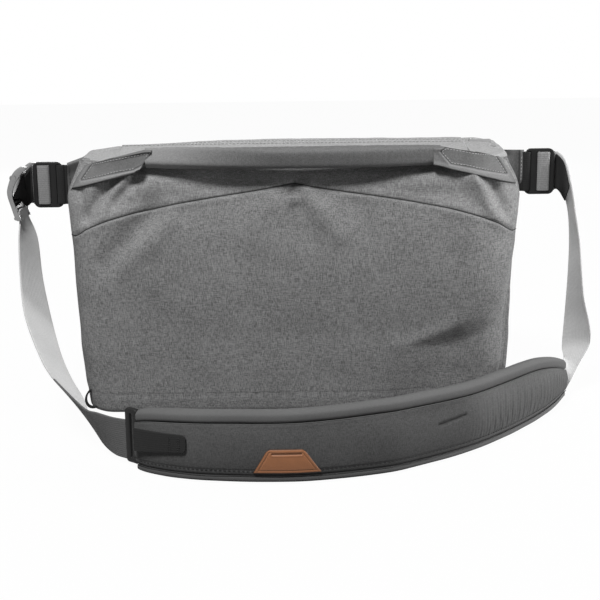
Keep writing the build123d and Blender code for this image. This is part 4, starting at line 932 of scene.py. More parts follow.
def build_top_flaps():
    """The two soft flaps of the top, hemmed along the zip, rounded over at the hinge."""
    for name, sign in (("front", -1), ("rear", 1)):
        lip = SLIT + sign * 2.2
        ys = lip + (sign * 57.9 - lip) * graded(44, 0.4)
        grid_x, grid_y = np.meshgrid(np.linspace(-FLAP_REACH, FLAP_REACH, 220), ys)
        top = crown_height(grid_y)
        place = points_at(grid_x, grid_y, top)
        hem = np.abs(grid_y - lip)
        top = top + 0.35 * hump(hem - 2.0, 2.0) - 0.5 * hump(hem - 6.5, 0.9) + 0.25 * hump(hem - 9, 2.0)
        top += (ripple(place, 90.0, 21 + sign) * 0.45 + ripple(place, 30.0, 31 + sign) * 0.15) * ease(4, 14, hem)
        top += 0.5 * hump(hem - 25, 14) * ease(0, 20, hem)
        top -= flap_sag(grid_x, grid_y)
        under = crown_height(grid_y) - 2.2 + 0.2 * hump(hem, 3) - flap_sag(grid_x, grid_y)
        over = points_at(grid_x, grid_y, top)
        below = points_at(grid_x, grid_y, under)[::-1]
        tip = over[-1:].copy()
        tip[..., 1] += sign * 0.9
        tip[..., 2] = (over[-1:, :, 2] + below[:1, :, 2]) / 2 - 0.2
        lip_row = over[:1].copy()
        lip_row[..., 1] -= sign * 0.3
        lip_row[..., 2] -= 1.1
        loop = np.swapaxes(np.concatenate([lip_row, over, tip, below]), 0, 1)
        seam = hump(np.abs(loop[..., 1] - lip) - 6.5, 0.7)
        piece = grid_piece(f"top_flap_cloth_{name}", loop, {"seam": seam * 0.2})
        hinge = ((0.0, sign * 0.0585, 0.2508), (0.0, sign * 0.0505, 0.2508))
        finish_piece(piece, f"{name}_flap", "trim_fabric", (f"top_flap_{name}",), hinge)
        hem_inner = SLIT + sign * 7.9
        width = np.linspace(-FLAP_REACH, FLAP_REACH, 60)
        tape = band_piece(f"zip_tape_cloth_{name}", points_at(width, SLIT + sign * 1.0, TAPE_HEIGHT),
                          points_at(width, hem_inner + sign * 4, TAPE_HEIGHT), 0.8, columns=8)
        finish_piece(tape, f"{name}_flap", "zip_tape", (f"zip_tape_{name}",))
        fold = band_piece(f"zip_hem_{name}", points_at(width, hem_inner, TAPE_HEIGHT + 0.2),
                          points_at(width, hem_inner + sign * 0.4, TAPE_HEIGHT + 3.8), 1.2, columns=6)
        finish_piece(fold, f"{name}_flap", "zip_tape")
        stitch_y = lip + sign * 5.2
        height = float(crown_height(stitch_y)) + 0.2 - flap_sag(width, np.full(len(width), stitch_y))
        up = np.tile((0.0, 0.0, 1.0), (len(width), 1))
        thread = thread_piece(f"flap_stitches_{name}", [(points_at(width, stitch_y, height), up)], 0.26, 2.6, 1.2)
        finish_piece(thread, f"{name}_flap", "trim_fabric", finish="thread_trim")


def build_top_ends():
    """The fixed ends of the top, running down over the shoulders, with the small garage hole of the zip."""
    start = FLAP_REACH + 0.6
    outline = ring_points(RIM, 0.2, SHELL_SHARES)
    right = outline[outline[:, 0] > start - 2.0]
    right = right[np.argsort(right[:, 1])]
    ys = np.linspace(right[0, 1] + 0.05, right[-1, 1] - 0.05, 90)[None, :]
    ends = np.interp(ys, right[:, 1], right[:, 0])
    share = np.linspace(0, 1, 46)[:, None]
    fall = 43.0 / 23.0
    blend = 1.6
    for side_name, sign in SIDES:
        x = start + (np.maximum(ends, start + 0.5) - start) * share
        crown = crown_height(ys) - top_sag(x * sign) * (0.45 + 0.55 * ease(0, 20, 60.4 - np.abs(ys)))
        slope = SHOULDER[1][1] - (x - SHOULDER[1][0]) * fall
        near = x - ends
        shoulder = RIM - 0.2 + np.minimum(-near * fall, 60.0)
        top = -np.log(np.exp(-crown / blend) + np.exp(-np.minimum(slope, shoulder) / blend)) * blend
        dimple = np.hypot(x - 197.0, (ys + 21.0) * 0.55)
        if sign > 0:
            top += 0.9 * hump(dimple - 3.4, 1.4) - 4.0 * hump(dimple, 2.0)
        slit = hump(ys - SLIT, 1.6) * (1 - ease(186, 192, x))
        top -= 1.2 * slit
        grid = points_at(x, ys, top)
        grid[..., 2] += ripple(grid, 40.0, 41 + sign) * 0.35 * ease(0, 4, -near)
        grid[..., 0] *= sign
        # Painted shade: the groove of the slit and the garage hole are darkened.
        seam = np.clip(0.6 * slit + 1.2 * hump(dimple, 2.0) * (sign > 0), 0, 1)
        piece = joined_sheets(f"top_end_cloth_{side_name}", grid, grid - (0.0, 0.0, 2.0), {"seam": seam})
        finish_piece(piece, "bag", "trim_fabric", (f"top_end_{side_name}",))


# ---------------------------------------------------------------- grab handle
HANDLE_REACH = 139.0
HANDLE_LINE = ((-139.0, -73.0), (-93.0, -79.2), (-46.0, -82.9), (0.0, -84.0), (46.0, -82.9), (93.0, -79.2),
               (139.0, -73.0))
HANDLE_MIDDLE = 252.2
# How far the handle is turned about its length, in degrees, from its left end to its right end.
HANDLE_TURN = ((-139, -110, -60, -20, 60, 110, 139), (22, 18, 2, -15, -15, -10, -2))


def handle_section():
    """The handle's section: flat face, soft top and a tighter lower edge; x is outwards, y is up."""
    outline = [(8.4, -4.6), (8.5, 0.0), (8.4, 4.6), (7.6, 8.2), (4.6, 9.7), (0.0, 9.9), (-4.6, 9.4), (-7.6, 7.0),
               (-8.3, 2.4), (-8.3, -3.4), (-7.0, -7.4), (-3.4, -9.6), (1.6, -9.9), (5.4, -9.0), (7.6, -7.2)]
    return closed_curve(outline, 48)


def build_handle():
    """The padded grab handle, gathered a little along its length and sewn along its back."""
    line = curve_through(HANDLE_LINE, 240)
    section = handle_section()
    travel = unit(np.gradient(line, axis=0))
    grid = np.zeros((len(line), len(section), 3))
    taper = 1 - 0.10 * hump(np.abs(line[:, 0]) - HANDLE_REACH, 22.0)
    turn = np.arange(len(section)) / len(section)
    for row, (centre, way) in enumerate(zip(line, travel)):
        outward = np.array((way[1], -way[0]))
        size = taper[row]
        turned = math.radians(np.interp(centre[0], *HANDLE_TURN))
        out = (section[:, 0] * math.cos(turned) - section[:, 1] * math.sin(turned)) * size
        grid[row, :, 0] = centre[0] + outward[0] * out
        grid[row, :, 1] = centre[1] + outward[1] * out
        grid[row, :, 2] = HANDLE_MIDDLE + (section[:, 0] * math.sin(turned) + section[:, 1] * math.cos(turned)) * size
    grid[..., 0] = np.clip(grid[..., 0], -HANDLE_REACH, HANDLE_REACH)
    rng = np.random.default_rng(12)
    gather = np.convolve(rng.normal(size=len(line)), np.ones(3) / 3, mode="same")
    slow = np.convolve(rng.normal(size=len(line)), np.ones(25) / 5, mode="same")
    outward = unit(grid - grid.mean(axis=1, keepdims=True))
    lift = 0.10 * gather[:, None] * (1 + 0.4 * np.sin(2 * np.pi * turn * 2))[None, :] + 0.16 * slow[:, None]
    grid = grid + outward * lift[..., None]
    seam_at = hump(turn[None, :] - 0.42, 0.012) + 0 * lift
    grid = grid - outward * (0.9 * seam_at)[..., None]
    # Painted light: the handle is drawn paler towards its left end, where it turns up into the light.
    pale_and_painted_light = 0.8 * ease(40, HANDLE_REACH, -grid[..., 0])
    piece = grid_piece("handle_cloth", grid, {"seam": seam_at, "pale_and_painted_light": pale_and_painted_light})
    finish_piece(piece, "handle", "shell_fabric", ("handle_cover", "handle_core"), finish="handle_fabric")


# Stations of the right handle patch: place across, its low and high edges, and how far its face stands out.
PATCH_STATIONS = (
    (215.5, 221.2, 224.0, 0.0), (212.0, 222.0, 231.0, 0.0), (206.0, 223.4, 240.5, 0.0), (200.5, 224.8, 247.6, 0.0),
    (196.0, 226.0, 250.0, 0.0), (188.0, 228.2, 251.6, 60.0), (173.0, 232.2, 254.4, 76.0), (158.0, 235.8, 256.6, 79.0),
    (148.0, 238.2, 258.4, 81.4), (141.0, 240.6, 259.8, 82.0), (136.0, 241.6, 260.2, 82.7),
    (132.0, 242.4, 260.2, 83.2),
)
PATCH_INSET = {
    "left": ((202.5, 231.6), (192.6, 245.6), (172.0, 251.4), (134.6, 257.6), (140.6, 247.4), (150.5, 242.6),
             (176.5, 237.4)),
    "right": ((204.6, 232.6), (194.2, 249.4), (168.0, 254.6), (143.0, 258.8), (138.4, 255.8), (148.4, 244.6),
              (176.0, 238.8)),
}
PATCH_SHARE = graded(60, 0.45)


def polygon_distance(x, z, outline):
    """Distance from the border of a polygon, negative inside it."""
    ends = list(outline[1:]) + [outline[0]]
    gap = np.full(np.shape(x), 1e9)
    inside = np.zeros(np.shape(x), bool)
    for (ax, az), (bx, bz) in zip(outline, ends):
        gap = np.minimum(gap, segment_distance(x, z, (ax, az), (bx, bz))[0])
        crosses = ((az > z) != (bz > z)) & (x < (bx - ax) * (z - az) / (bz - az + 1e-12) + ax)
        inside ^= crosses
    return np.where(inside, -gap, gap)


def patch_grid(side_name):
    """A patch drawn at the right: its face with a sunk inset and a rolled lower border, and its back on the body."""
    stations = curve_through(PATCH_STATIONS, 150)
    stations[:, 2] -= (4.0 if side_name == "left" else 1.0) * ease(140, 196, stations[:, 0])
    inset = PATCH_INSET[side_name]
    outline = [(x, low) for x, low, _, _ in stations[::6]] + [(x, high) for x, _, high, _ in stations[::-6]]
    share = PATCH_SHARE[None, :]
    across, low, high, face = np.split(stations, 4, axis=1)
    slant = (1 - share) * 12.0 if side_name == "left" else 0 * share
    x = across + slant * (1 - ease(132, 154, across))
    z = low + (high - low) * share
    body = front_depth(x, z) + front_swell(x, z)
    held = face - 1.2 * share
    blend = 5.0
    stand = blend * np.log(np.exp((body + 1.6) / blend) + np.exp(held / blend))
    stand = np.where(x < 150, np.minimum(stand, held + 1.0 + 4.0 * ease(140, 150, x)), stand)
    to_inset = polygon_distance(x, z, inset)
    to_edge = -polygon_distance(x, z, outline)
    to_end = np.clip(x - x[-1:], 0, 20)
    to_edge = np.where(x < 160, np.maximum(to_edge, np.minimum(z - low, high - z)), to_edge)
    rise = -1.1 * ease(0, 1.6, -to_inset) - 0.9 * hump(to_inset, 0.7) + 0.8 * hump(to_inset - 1.8, 1.3)
    rise += 0.9 * ease(1.0, 2.4, to_inset) * hump(to_edge - 2.2, 2.0) - 2.3 * hump(to_edge, 0.9)
    rise += ripple(points_at(x, 0.0, z), 26.0, 51) * 0.18 - 0.5 * hump(to_end, 1.2)
    front = points_at(x, -(stand + rise), z)
    # the back follows the body and, above the rim, stays clear of the flap
    over = np.clip((z - 247.0) / 12.0, 0, 1)
    back_y = 1.2 - front_depth(x, np.minimum(z, 247.0)) + over * 14.0 * ease(170, 178, x)
    back_y = np.where(over > 0, np.minimum(back_y, np.where(x < 174, -61.5, 0.0)), back_y)
    back = points_at(x, back_y, z - 0.6 * over)
    # The edge line is darker along the lower edge, a painted shadow under the patch.
    below = 1 - ease(0.3, 0.7, share + 0 * x)
    seam = np.clip(0.75 * hump(to_inset, 0.55) + (0.4 + 0.6 * below) * hump(to_edge - 0.3, 0.9), 0, 1)
    # The border outside the inset is drawn paler, and its rolled lower part paler still, a painted highlight where it
    # faces up.
    pale_and_painted_light = np.clip(ease(0.4, 1.8, to_inset), 0, 1) * (0.3 + 0.6 * below * hump(to_inset - 2.0, 1.5))
    return front, back, {"seam": seam, "pale_and_painted_light": pale_and_painted_light}, stations


def build_handle_patches():
    """The padded patches that carry the handle: sunk inset, rolled border, stitches and lower hem."""
    for side_name, sign in SIDES:
        front, back, measures, stations = patch_grid(side_name)
        turn = np.array((sign, 1, 1))
        piece = joined_sheets(f"handle_patch_cloth_{side_name}", front * turn, back * turn, measures, 60)
        finish_piece(piece, "bag", "ribbed_fabric", (f"handle_patch_{side_name}",), finish="handle_fabric")
        ring = np.array(PATCH_INSET[side_name] + PATCH_INSET[side_name][:1])
        drawn = spaced(ring, 170)
        drawn = drawn + unit(ring[:-1].mean(axis=0) - drawn) * 1.1
        rows = np.interp(-drawn[:, 0], -stations[:, 0], np.arange(len(stations)))
        row = np.clip(np.round(rows).astype(int), 0, len(stations) - 1)
        share = (drawn[:, 1] - stations[row, 1]) / (stations[row, 2] - stations[row, 1])
        column = np.argmin(np.abs(PATCH_SHARE[None, :] - share[:, None]), axis=1)
        y = front[row, np.clip(column, 1, len(PATCH_SHARE) - 2), 1]
        y = np.convolve(np.pad(y, 3, mode="edge"), np.ones(7) / 7, mode="valid")
        line = points_at(drawn[:, 0] * sign, y - 0.1, drawn[:, 1])
        outwards = np.tile((0.0, -1.0, 0.1), (len(line), 1))
        thread = thread_piece(f"patch_stitches_{side_name}", [(line, outwards)], 0.3, 2.2, 0.9, lift=0.1)
        finish_piece(thread, "bag", "ribbed_fabric", finish="thread_light")


# ---------------------------------------------------------------- inside of the bag
LINING_INSET = 10.9
LINING_TOP = 244.6
SLEEVE_Y = 38.0
SLEEVE_TOP = 224.9
POCKET_REACH = 149.0


def wall_sheet(z_low, z_high, inset, x_reach, rows, columns):
    """A sheet of points along the inside of the front wall."""
    z = np.linspace(z_low, z_high, rows)[:, None]
    round_left = BASE_ROUND - inset
    lift = np.where(z < BASE_ROUND, round_left - np.sqrt(np.maximum(0, round_left**2 - (BASE_ROUND - z) ** 2)), 0)
    return points_at(np.linspace(-x_reach, x_reach, columns)[None, :], -(half_depth(z) - inset - lift), z)


def build_lining():
    """The lining tub, in one piece with a bound hem below the rim."""
    shares = (graded(90, 0.55), graded(24, 0.5))
    round_levels = BASE_ROUND - (BASE_ROUND - LINING_INSET) * np.cos(np.radians(np.linspace(8, 90, 9)))
    levels = np.concatenate([round_levels, np.linspace(24, LINING_TOP, 56)])
    floor = ring_points(BASE_ROUND, 20.0, shares)
    rows = [at_height(floor * share, LINING_INSET) for share in (0.15, 0.5, 0.8)]
    rows += [at_height(ring_points(level, LINING_INSET, shares), level) for level in levels]
    inner = len(rows)
    rows += [at_height(ring_points(245.0, inset, shares), 245.4) for inset in (10.6, 10.3)]
    rows += [at_height(ring_points(level, 10.2, shares), min(level, LINING_TOP) - 0.7) for level in levels[::-1]]
    rows += [at_height(floor * share, 10.1) for share in (0.8, 0.15)]
    grid = np.array(rows)
    z = grid[:inner, :, 2]
    gather = ripple(grid[:inner], 55.0, 61) * 0.5 * ease(12, 30, z) * (1 - ease(238, 244, z))
    grid[:inner, :, :2] -= unit(grid[:inner, :, :2]) * (np.abs(gather) * 0.8)[..., None]
    hem = hump(grid[..., 2] - 238.5, 0.8) * (np.arange(len(grid)) < inner)[:, None] * 0.6
    # its front corners are cut rounder, clear of the outside cloth where that draws in
    corner = ease(160, 200, np.abs(grid[..., 0])) * ease(25, 52, -grid[..., 1])
    grid[..., 0] *= 1 - 0.035 * corner
    grid[..., 1] *= 1 - 0.11 * corner
    piece = grid_piece("lining_cloth", grid, {"seam": hem})
    finish_piece(piece, "bag", "lining_fabric", ("interior_lining",))


def build_sleeve_and_pocket():
    """The padded tablet sleeve along the back and the flat pocket along the front, with bound top hems."""
    z = np.concatenate([np.linspace(12.0, 30.0, 9), np.linspace(34.0, SLEEVE_TOP - 0.1, 50)])
    corner = 8.0
    drawn_in = np.where(z < BASE_ROUND, corner - np.sqrt(np.maximum(0, corner**2 - (BASE_ROUND - z) ** 2)), 0)
    reach = np.minimum(half_width(z) - 11.4, 214.0) - drawn_in
    sheet = points_at(reach[:, None] * np.linspace(-1, 1, 90)[None, :], SLEEVE_Y, z[:, None])
    top = 0.5 * ripple(sheet, 120.0, 65) * ease(200, 224, sheet[..., 2])
    sheet[..., 2] += np.minimum(top, 0)
    sleeve = board_piece("sleeve_wall", sheet, (0, 1, 0), 1.75, 2.0, puff=0.15, stitch_in=7.0, seed=66)
    finish_piece(sleeve, "bag", "lining_fabric", ("rear_sleeve",))
    front, back = (wall_sheet(14.0, 149.8, inset, POCKET_REACH, 48, 110) for inset in (14.9, 13.9))
    side = np.clip((POCKET_REACH - np.abs(front[..., 0])) / 6.0, 0, 1)
    for sheet, drawn in ((front, 3.6), (back, 2.8)):
        sheet[..., 1] -= drawn * (1 - ease(0, 1, side))
    slack = ripple(front, 70.0, 67) * 0.35 * side
    front[..., 1] += slack
    back[..., 1] += slack
    hem = hump(front[..., 2] - 143.0, 0.8)
    front[..., 1] -= 0.4 * hem
    pocket = joined_sheets("pocket_cloth", front, back, {"seam": hem * 0.6})
    finish_piece(pocket, "bag", "lining_fabric", ("front_pocket",))
    binding = cord_piece("sleeve_binding", points_at(np.linspace(-212.0, 212.0, 120), SLEEVE_Y, SLEEVE_TOP - 0.6),
                         2.3, 12)
    finish_piece(binding, "bag", "webbing_dark")


def build_dividers():
    """The two padded dividers and the fold-down tops that are sewn to them."""
    z = np.linspace(12.2, 177.2, 60)
    round_left = BASE_ROUND - 10.8
    lift = np.where(z < BASE_ROUND + 5, round_left * (1 - np.sqrt(np.clip(1 - ((25 - z) / 22) ** 2, 0, 1))), 0)
    front_y = -(half_depth(z) - 16.4 - lift)[:, None]
    rear_y = 34.8
    board_y = front_y + (rear_y - front_y) * np.linspace(0, 1, 46)[None, :]
    fold_y = np.linspace(-47.4, rear_y, 46)[None, :]
    fold_z = np.linspace(179.2, 235.4, 26)[:, None]
    for side_name, sign in SIDES:
        board = board_piece(f"divider_board_{side_name}", points_at(70.0 * sign, board_y, z[:, None]), (1, 0, 0),
                            3.5, 3.2, puff=0.3, stitch_in=7.0, seed=71 + sign)
        finish_piece(board, f"divider_{side_name[0]}", "lining_fabric", (f"divider_{side_name}",))
        top = board_piece(f"divider_fold_{side_name}", points_at(70.5 * sign, fold_y, fold_z), (1, 0, 0),
                          2.6, 2.4, puff=0.2, stitch_in=6.0, seed=75 + sign)
        finish_piece(top, f"divider_flap_{side_name[0]}", "lining_fabric", (f"divider_flap_{side_name}",))


# ---------------------------------------------------------------- side tabs, frames and webbing
# Heights of the tabs' middles, the inner edge of the frames, and half the height and the thickness of the webbing.
ANCHOR = {"left": 219.7, "right": 227.3}
FRAME_X = 232.7
FRAME_HALF = 15.0
WEB_HALF = 19.7
WEB_THICK = 1.75
TURNED_THICK = 1.45
# Plans, across and back, of the webbing turned through a frame's inner slot and round its outer bar.
TAB_PLAN = ((228.1, 0.85), (230.6, 1.3), (231.6, 2.6), (233.4, 3.25), (236.0, 3.2), (237.6, 2.0), (238.0, 0.0),
            (237.6, -2.0), (236.0, -3.2), (233.4, -3.25), (231.6, -2.6), (230.6, -1.3), (228.1, -0.85))
FRAME_PLAN = ((264.0, 4.9), (260.0, 4.9), (257.4, 4.75), (255.4, 3.9), (253.6, 3.3), (250.0, 3.25), (247.6, 3.05),
              (246.4, 1.8), (246.1, 0.0), (246.4, -1.8), (247.6, -3.05), (250.0, -3.3), (253.8, -3.3), (256.2, -3.05),
              (257.3, -1.8), (257.5, 0.0), (257.9, 1.6), (258.9, 2.9), (260.8, 3.25), (264.0, 3.25))


def upright_band(name, plan, count, side_name, sign, columns):
    """Webbing that stands upright at a frame's height and follows a plan of places across and back."""
    line = curve_through([(x, y, 0) for x, y in plan], count) * (sign, 1, 1)
    middle = ANCHOR[side_name]
    return band_piece(name, line + (0, 0, middle - WEB_HALF), line + (0, 0, middle + WEB_HALF), TURNED_THICK, columns)


def build_side_tabs():
    """The wedge of cloth at each side, hemmed at its end, and the webbing loop that holds the frame."""
    for side_name, sign in SIDES:
        middle = ANCHOR[side_name]
        low, high = middle - 21.8, middle + 21.8
        reach = 227.7 if sign < 0 else 231.8
        x = np.concatenate([np.linspace(197.0, 221.0, 26), np.linspace(221.6, reach, 16)])
        thick = np.interp(x, [196, 199.2, 222, 224.0, reach], [17.6, 17.4, 3.4, 2.6, 2.4])
        top = np.interp(x, [197, 205, reach], [245.5, 249.5, high])
        bottom = np.interp(x, [197.0, 221.0, reach], [low, low, low + (11.0 if sign > 0 else 3.0)])
        turns = np.linspace(0, 2 * np.pi, 64, endpoint=False)
        rows = []
        for at, half, top_z, low_z in zip(x, thick, top, bottom):
            centre = (low_z + top_z) / 2
            tall = (top_z - low_z) / 2
            # a tall lens: the cloth is widest low down, where it comes off the body
            z = centre + tall * squared_off(np.sin(turns), 0.45)
            taper = 1 - 0.25 * ease(0.2, 1.0, (z - centre) / tall) * (half > 2.5)
            rows.append(points_at(at * sign, half * squared_off(np.cos(turns), 0.8) * taper, z))
        grid = np.array(rows)
        hem = hump(np.abs(grid[..., 0]) - reach + 4.4, 0.8) * (sign > 0)
        grid[..., 1] *= 1 - 0.2 * hem
        grid[..., 1] += ripple(grid, 40.0, 81 + sign) * 0.25 * ease(3, 8, np.abs(grid[..., 1]))
        out = np.abs(grid[..., 0])
        under_top = np.interp(out, x, top) - grid[..., 2]
        # Painted light and shade: the left tab gets a paler top facet and a darker band below it, the right tab a
        # paler hem and a painted shadow at the top of its root.
        pale_and_painted_light = 0.9 * ease(reach - 4.6, reach - 2.5, out) if sign > 0 else 1 - ease(1.6, 3.0, under_top)
        shade = 0.85 * ease(2.0, 4.0, under_top) * (1 - ease(9, 15, under_top)) * (sign < 0)
        shade = shade + 0.9 * (1 - ease(4, 7, under_top)) * (1 - ease(214, 222, out)) * (sign > 0)
        wedge = grid_piece(f"side_tab_cloth_{side_name}", grid, {"seam": np.maximum(hem, shade), "pale_and_painted_light": pale_and_painted_light})
        finish_piece(wedge, "bag", "shell_fabric", (f"tab_root_{side_name}",), finish="tab_fabric")
        wrap = upright_band(f"tab_webbing_{side_name}", TAB_PLAN, 90, side_name, sign, 14)
        finish_piece(wrap, "strap", "webbing_dark", (f"tab_loop_{side_name}",))
        edge_line = points_at(sign * (reach - 2.6), -2.75, np.linspace(bottom[-1] + 2, high - 2, 30))
        normals = np.tile((0.0, -1.0, 0.0), (len(edge_line), 1))
        rear = edge_line * (1, -1, 1)
        thread = thread_piece(f"tab_stitches_{side_name}", [(edge_line, normals), (rear, -normals)], 0.3, 2.4, 1.2)
        # Painted light and shade: the same stitching is drawn dark on the shaded left tab and light along the right
        # tab's lit hem.
        finish_piece(thread, "bag", "shell_fabric", finish="thread_dark" if sign < 0 else "thread_light")


def frame_matrix(side_name, sign):
    """Puts a drawing in the plane of a frame: across outwards, up, with the front towards the viewer."""
    centre = Vector((sign * (FRAME_X + FRAME_HALF), 0.0, ANCHOR[side_name])) * MM
    return Matrix(((sign, 0, 0, centre.x), (0, 0, -1, centre.y), (0, 1, 0, centre.z), (0, 0, 0, 1)))


def build_frames():
    """The black moulded frames with their three slots."""
    slot_width = 2.8
    outline = rounded_loop(2 * FRAME_HALF, 46.0, 6.0, 9)
    slots = [rounded_loop(slot_width, 39.5, 0.8, 4) + (start + slot_width / 2 - FRAME_X - FRAME_HALF, 0)
             for start in (235.9, 245.2, 255.5)]
    for side_name, sign in SIDES:
        piece = moulding(f"frame_{side_name}", outline, slots, 4.5, 0.9, frame_matrix(side_name, sign))
        finish_piece(piece, "strap", "black_plastic", (f"strap_frame_{side_name}",))


RIGHT_WEBBING = (
    ((264, 4.05, 208.3), (264, 4.05, 246.3)), ((267.2, 4.05, 208.3), (267.2, 4.05, 246.3)),
    ((272, 4, 204), (273, -6, 238)), ((278, 8, 196), (276, -21, 216)), ((283, 15, 178), (281, -20, 189)),
    ((285, 17, 152), (287, -18, 158)), ((285, 17, 126), (290, -18, 130)), ((284, 17, 98), (294, -17, 100)),
    ((282, 16, 66), (302, -14, 69)), ((280, 12, 42), (303, -12, 50)), ((278, -4, 36), (293.5, -17, 34)),
    ((275.5, -18, 36), (281.5, -24, 14)), ((273, -26, 36), (273.5, -27, 1)),
)
LEFT_ANCHOR = (
    ((-264, 4.05, 200.7), (-264, 4.05, 238.5)), ((-267.2, 4.05, 200.7), (-267.2, 4.05, 236.4)),
    ((-271, 5, 198), (-271, -8, 230)), ((-275, 11, 198), (-275, -16, 220)), ((-281.3, 16, 204), (-281.3, -16, 208)),
)
LEFT_WEBBING = (
    ((-274.3, 19, 197), (-274.3, -19, 197)), ((-274.3, 19, 186), (-274.3, -19, 186)),
    ((-263, 4, 165), (-274, -31, 166)), ((-253, -28, 130), (-268, -60, 132)), ((-240, -62, 99), (-258, -93, 106)),
    ((-225, -96, 69), (-241, -126, 81)), ((-211, -123, 52), (-224, -153, 64)), ((-196, -146, 38), (-197, -181, 48)),
    ((-185, -168, 23), (-184, -197, 44)), ((-172, -190, 11), (-174, -205, 44)), ((-159, -207, 6), (-160, -212, 42)),
    ((-146.4, -219, 6), (-146.4, -219.5, 42)),
)


def edge_pair(stations, count):
    """Smooth inner and outer edges through pairs of edge points."""
    joined = curve_through([tuple(inner) + tuple(outer) for inner, outer in stations], count)
    return joined[:, :3], joined[:, 3:]


def shifted_edges(inner, outer, shift, start, end):
    """Edges moved off the webbing's face and drawn in from its sides."""
    travel = unit(np.gradient((inner + outer) / 2, axis=0))
    normal = unit(np.cross(travel, outer - inner))
    low = inner + (outer - inner) * start + normal * shift
    high = inner + (outer - inner) * end + normal * shift
    return low, high


def build_frame_wraps():
    """The webbing turned round the web bar of each frame, with its sewn double tail behind the frame."""
    for side_name, sign in SIDES:
        wrap = upright_band(f"frame_webbing_{side_name}", FRAME_PLAN, 150, side_name, sign, 16)
        # The webbing round the bar takes the darker copy of the light webbing: painted shade in the slots.
        finish_piece(wrap, "strap", "webbing_light", finish="webbing_mid")


def build_webbing():
    """The strap: right run, left anchor, left run and its turned-over tail, with their dark keepers."""
    inner, outer = edge_pair(RIGHT_WEBBING, 260)
    right = band_piece("strap_right", inner, outer, WEB_THICK, columns=24, cup=0.25, wave=0.35, seed=91)
    finish_piece(right, "strap", "webbing_light", ("webbing_right",))
    low, high = shifted_edges(*edge_pair(RIGHT_WEBBING[:4], 60), 1.55, 0.02, 0.93)
    keeper = band_piece("keeper_right_webbing", low, high, 0.85, columns=14)
    finish_piece(keeper, "strap", "webbing_dark", ("keeper_right",))
    inner, outer = edge_pair(LEFT_ANCHOR, 90)
    anchor = band_piece("strap_anchor_left", inner, outer, WEB_THICK, columns=20)
    finish_piece(anchor, "strap", "webbing_light", ("anchor_web_left",), finish="webbing_dark")
    low, high = shifted_edges(*edge_pair(LEFT_ANCHOR[:3], 50), -1.55, 0.02, 0.98)
    keeper = band_piece("keeper_left_webbing", low, high, 0.85, columns=14)
    finish_piece(keeper, "strap", "webbing_dark", ("keeper_left",))
    inner, outer = edge_pair(LEFT_WEBBING, 300)
    inner_end = int(np.argmin(np.linalg.norm(inner - (-189, -160, 29), axis=1)))
    outer_end = int(np.argmin(np.linalg.norm(outer - (-220, -157, 62), axis=1)))
    left = band_piece("strap_left", spaced(inner[:inner_end], 240), spaced(outer[:outer_end], 240), WEB_THICK,
                      columns=24, cup=0.2, wave=0.35, seed=93)
    finish_piece(left, "strap", "webbing_light", ("webbing_left",))
    tail = band_piece("strap_left_tail", spaced(inner[inner_end:], 140), spaced(outer[outer_end:], 140), WEB_THICK,
                      columns=24, wave=0.3, seed=94)
    # The tail takes the darker webbing: painted shade on its turned-over back.
    finish_piece(tail, "strap", "webbing_dark", ("webbing_left_tail",), finish="webbing_turned")


def side_matrix(y):
    """Puts a drawing of across and up in the plane at a depth, facing the front."""
    return Matrix(((1, 0, 0, 0), (0, 0, -1, y * MM), (0, 1, 0, 0), (0, 0, 0, 1)))


# The side view of a cheek: its outer edge from the top down, then its inner edge back up.
BOW_OUTER = ((-263.5, 240.0), (-270.0, 240.3), (-278.1, 233.4), (-283.6, 220.5), (-284.5, 212.0), (-281.6, 200.5),
             (-277.4, 187.3), (-272.5, 186.4))
BOW_INNER = ((-272.9, 188.8), (-276.6, 200.0), (-279.2, 210.0), (-277.7, 219.8), (-271.2, 230.9), (-265.0, 237.2))


def build_adjuster():
    """The cast adjuster: two bow-shaped cheeks, the bars for the webbing and the curved lever."""
    outer = curve_through(BOW_OUTER, 60)
    inner = curve_through(BOW_INNER, 44)
    outline = np.vstack([outer, inner])
    for name, y in (("front", -21.6), ("rear", 21.6)):
        cheek = moulding(f"adjuster_cheek_{name}", outline, (), 2.3, 0.55, side_matrix(y))
        finish_piece(cheek, "strap", "satin_metal", ("adjuster_body",))
    for name, centre, radius in (("web", (-280.6, 0, 204.0), 1.6), ("foot", (-277.6, 0, 188.5), 2.0)):
        bar = rod_piece(f"adjuster_bar_{name}", centre, 21.0, radius)
        finish_piece(bar, "strap", "satin_metal")
    top_row, low_row = (np.argmin(np.abs(outer[:, 1] - z)) for z in (233.0, 192.7))
    run = spaced(outer[top_row:low_row + 1], 44)
    travel = unit(np.gradient(run, axis=0))
    inwards = np.stack([-travel[:, 1], travel[:, 0]], axis=1)
    loop = flat_loop(22, 0.05)
    crown = 0.35 * (1 - loop[:, 0] ** 2)
    thick = np.interp(np.linspace(0, 1, len(run)), [0, 0.03, 0.9, 1.0], [1.6, 2.2, 2.0, 1.0])
    rows = []
    for point, inward, size in zip(run, inwards, thick):
        centre = point + inward * (0.7 + size / 2)
        offset = loop[:, 1] * size / 2 - crown
        rows.append(points_at(centre[0] + inward[0] * offset, loop[:, 0] * 19.8, centre[1] + inward[1] * offset))
    lever = grid_piece("adjuster_lever_plate", np.array(rows), crease_angle=50)
    finish_piece(lever, "lever", "satin_metal", ("adjuster_lever",))
    knuckle = rod_piece("adjuster_knuckle", (-272.6, 0, 231.5), 21.9, 2.5, 32, 0.6)
    finish_piece(knuckle, "lever", "satin_metal")


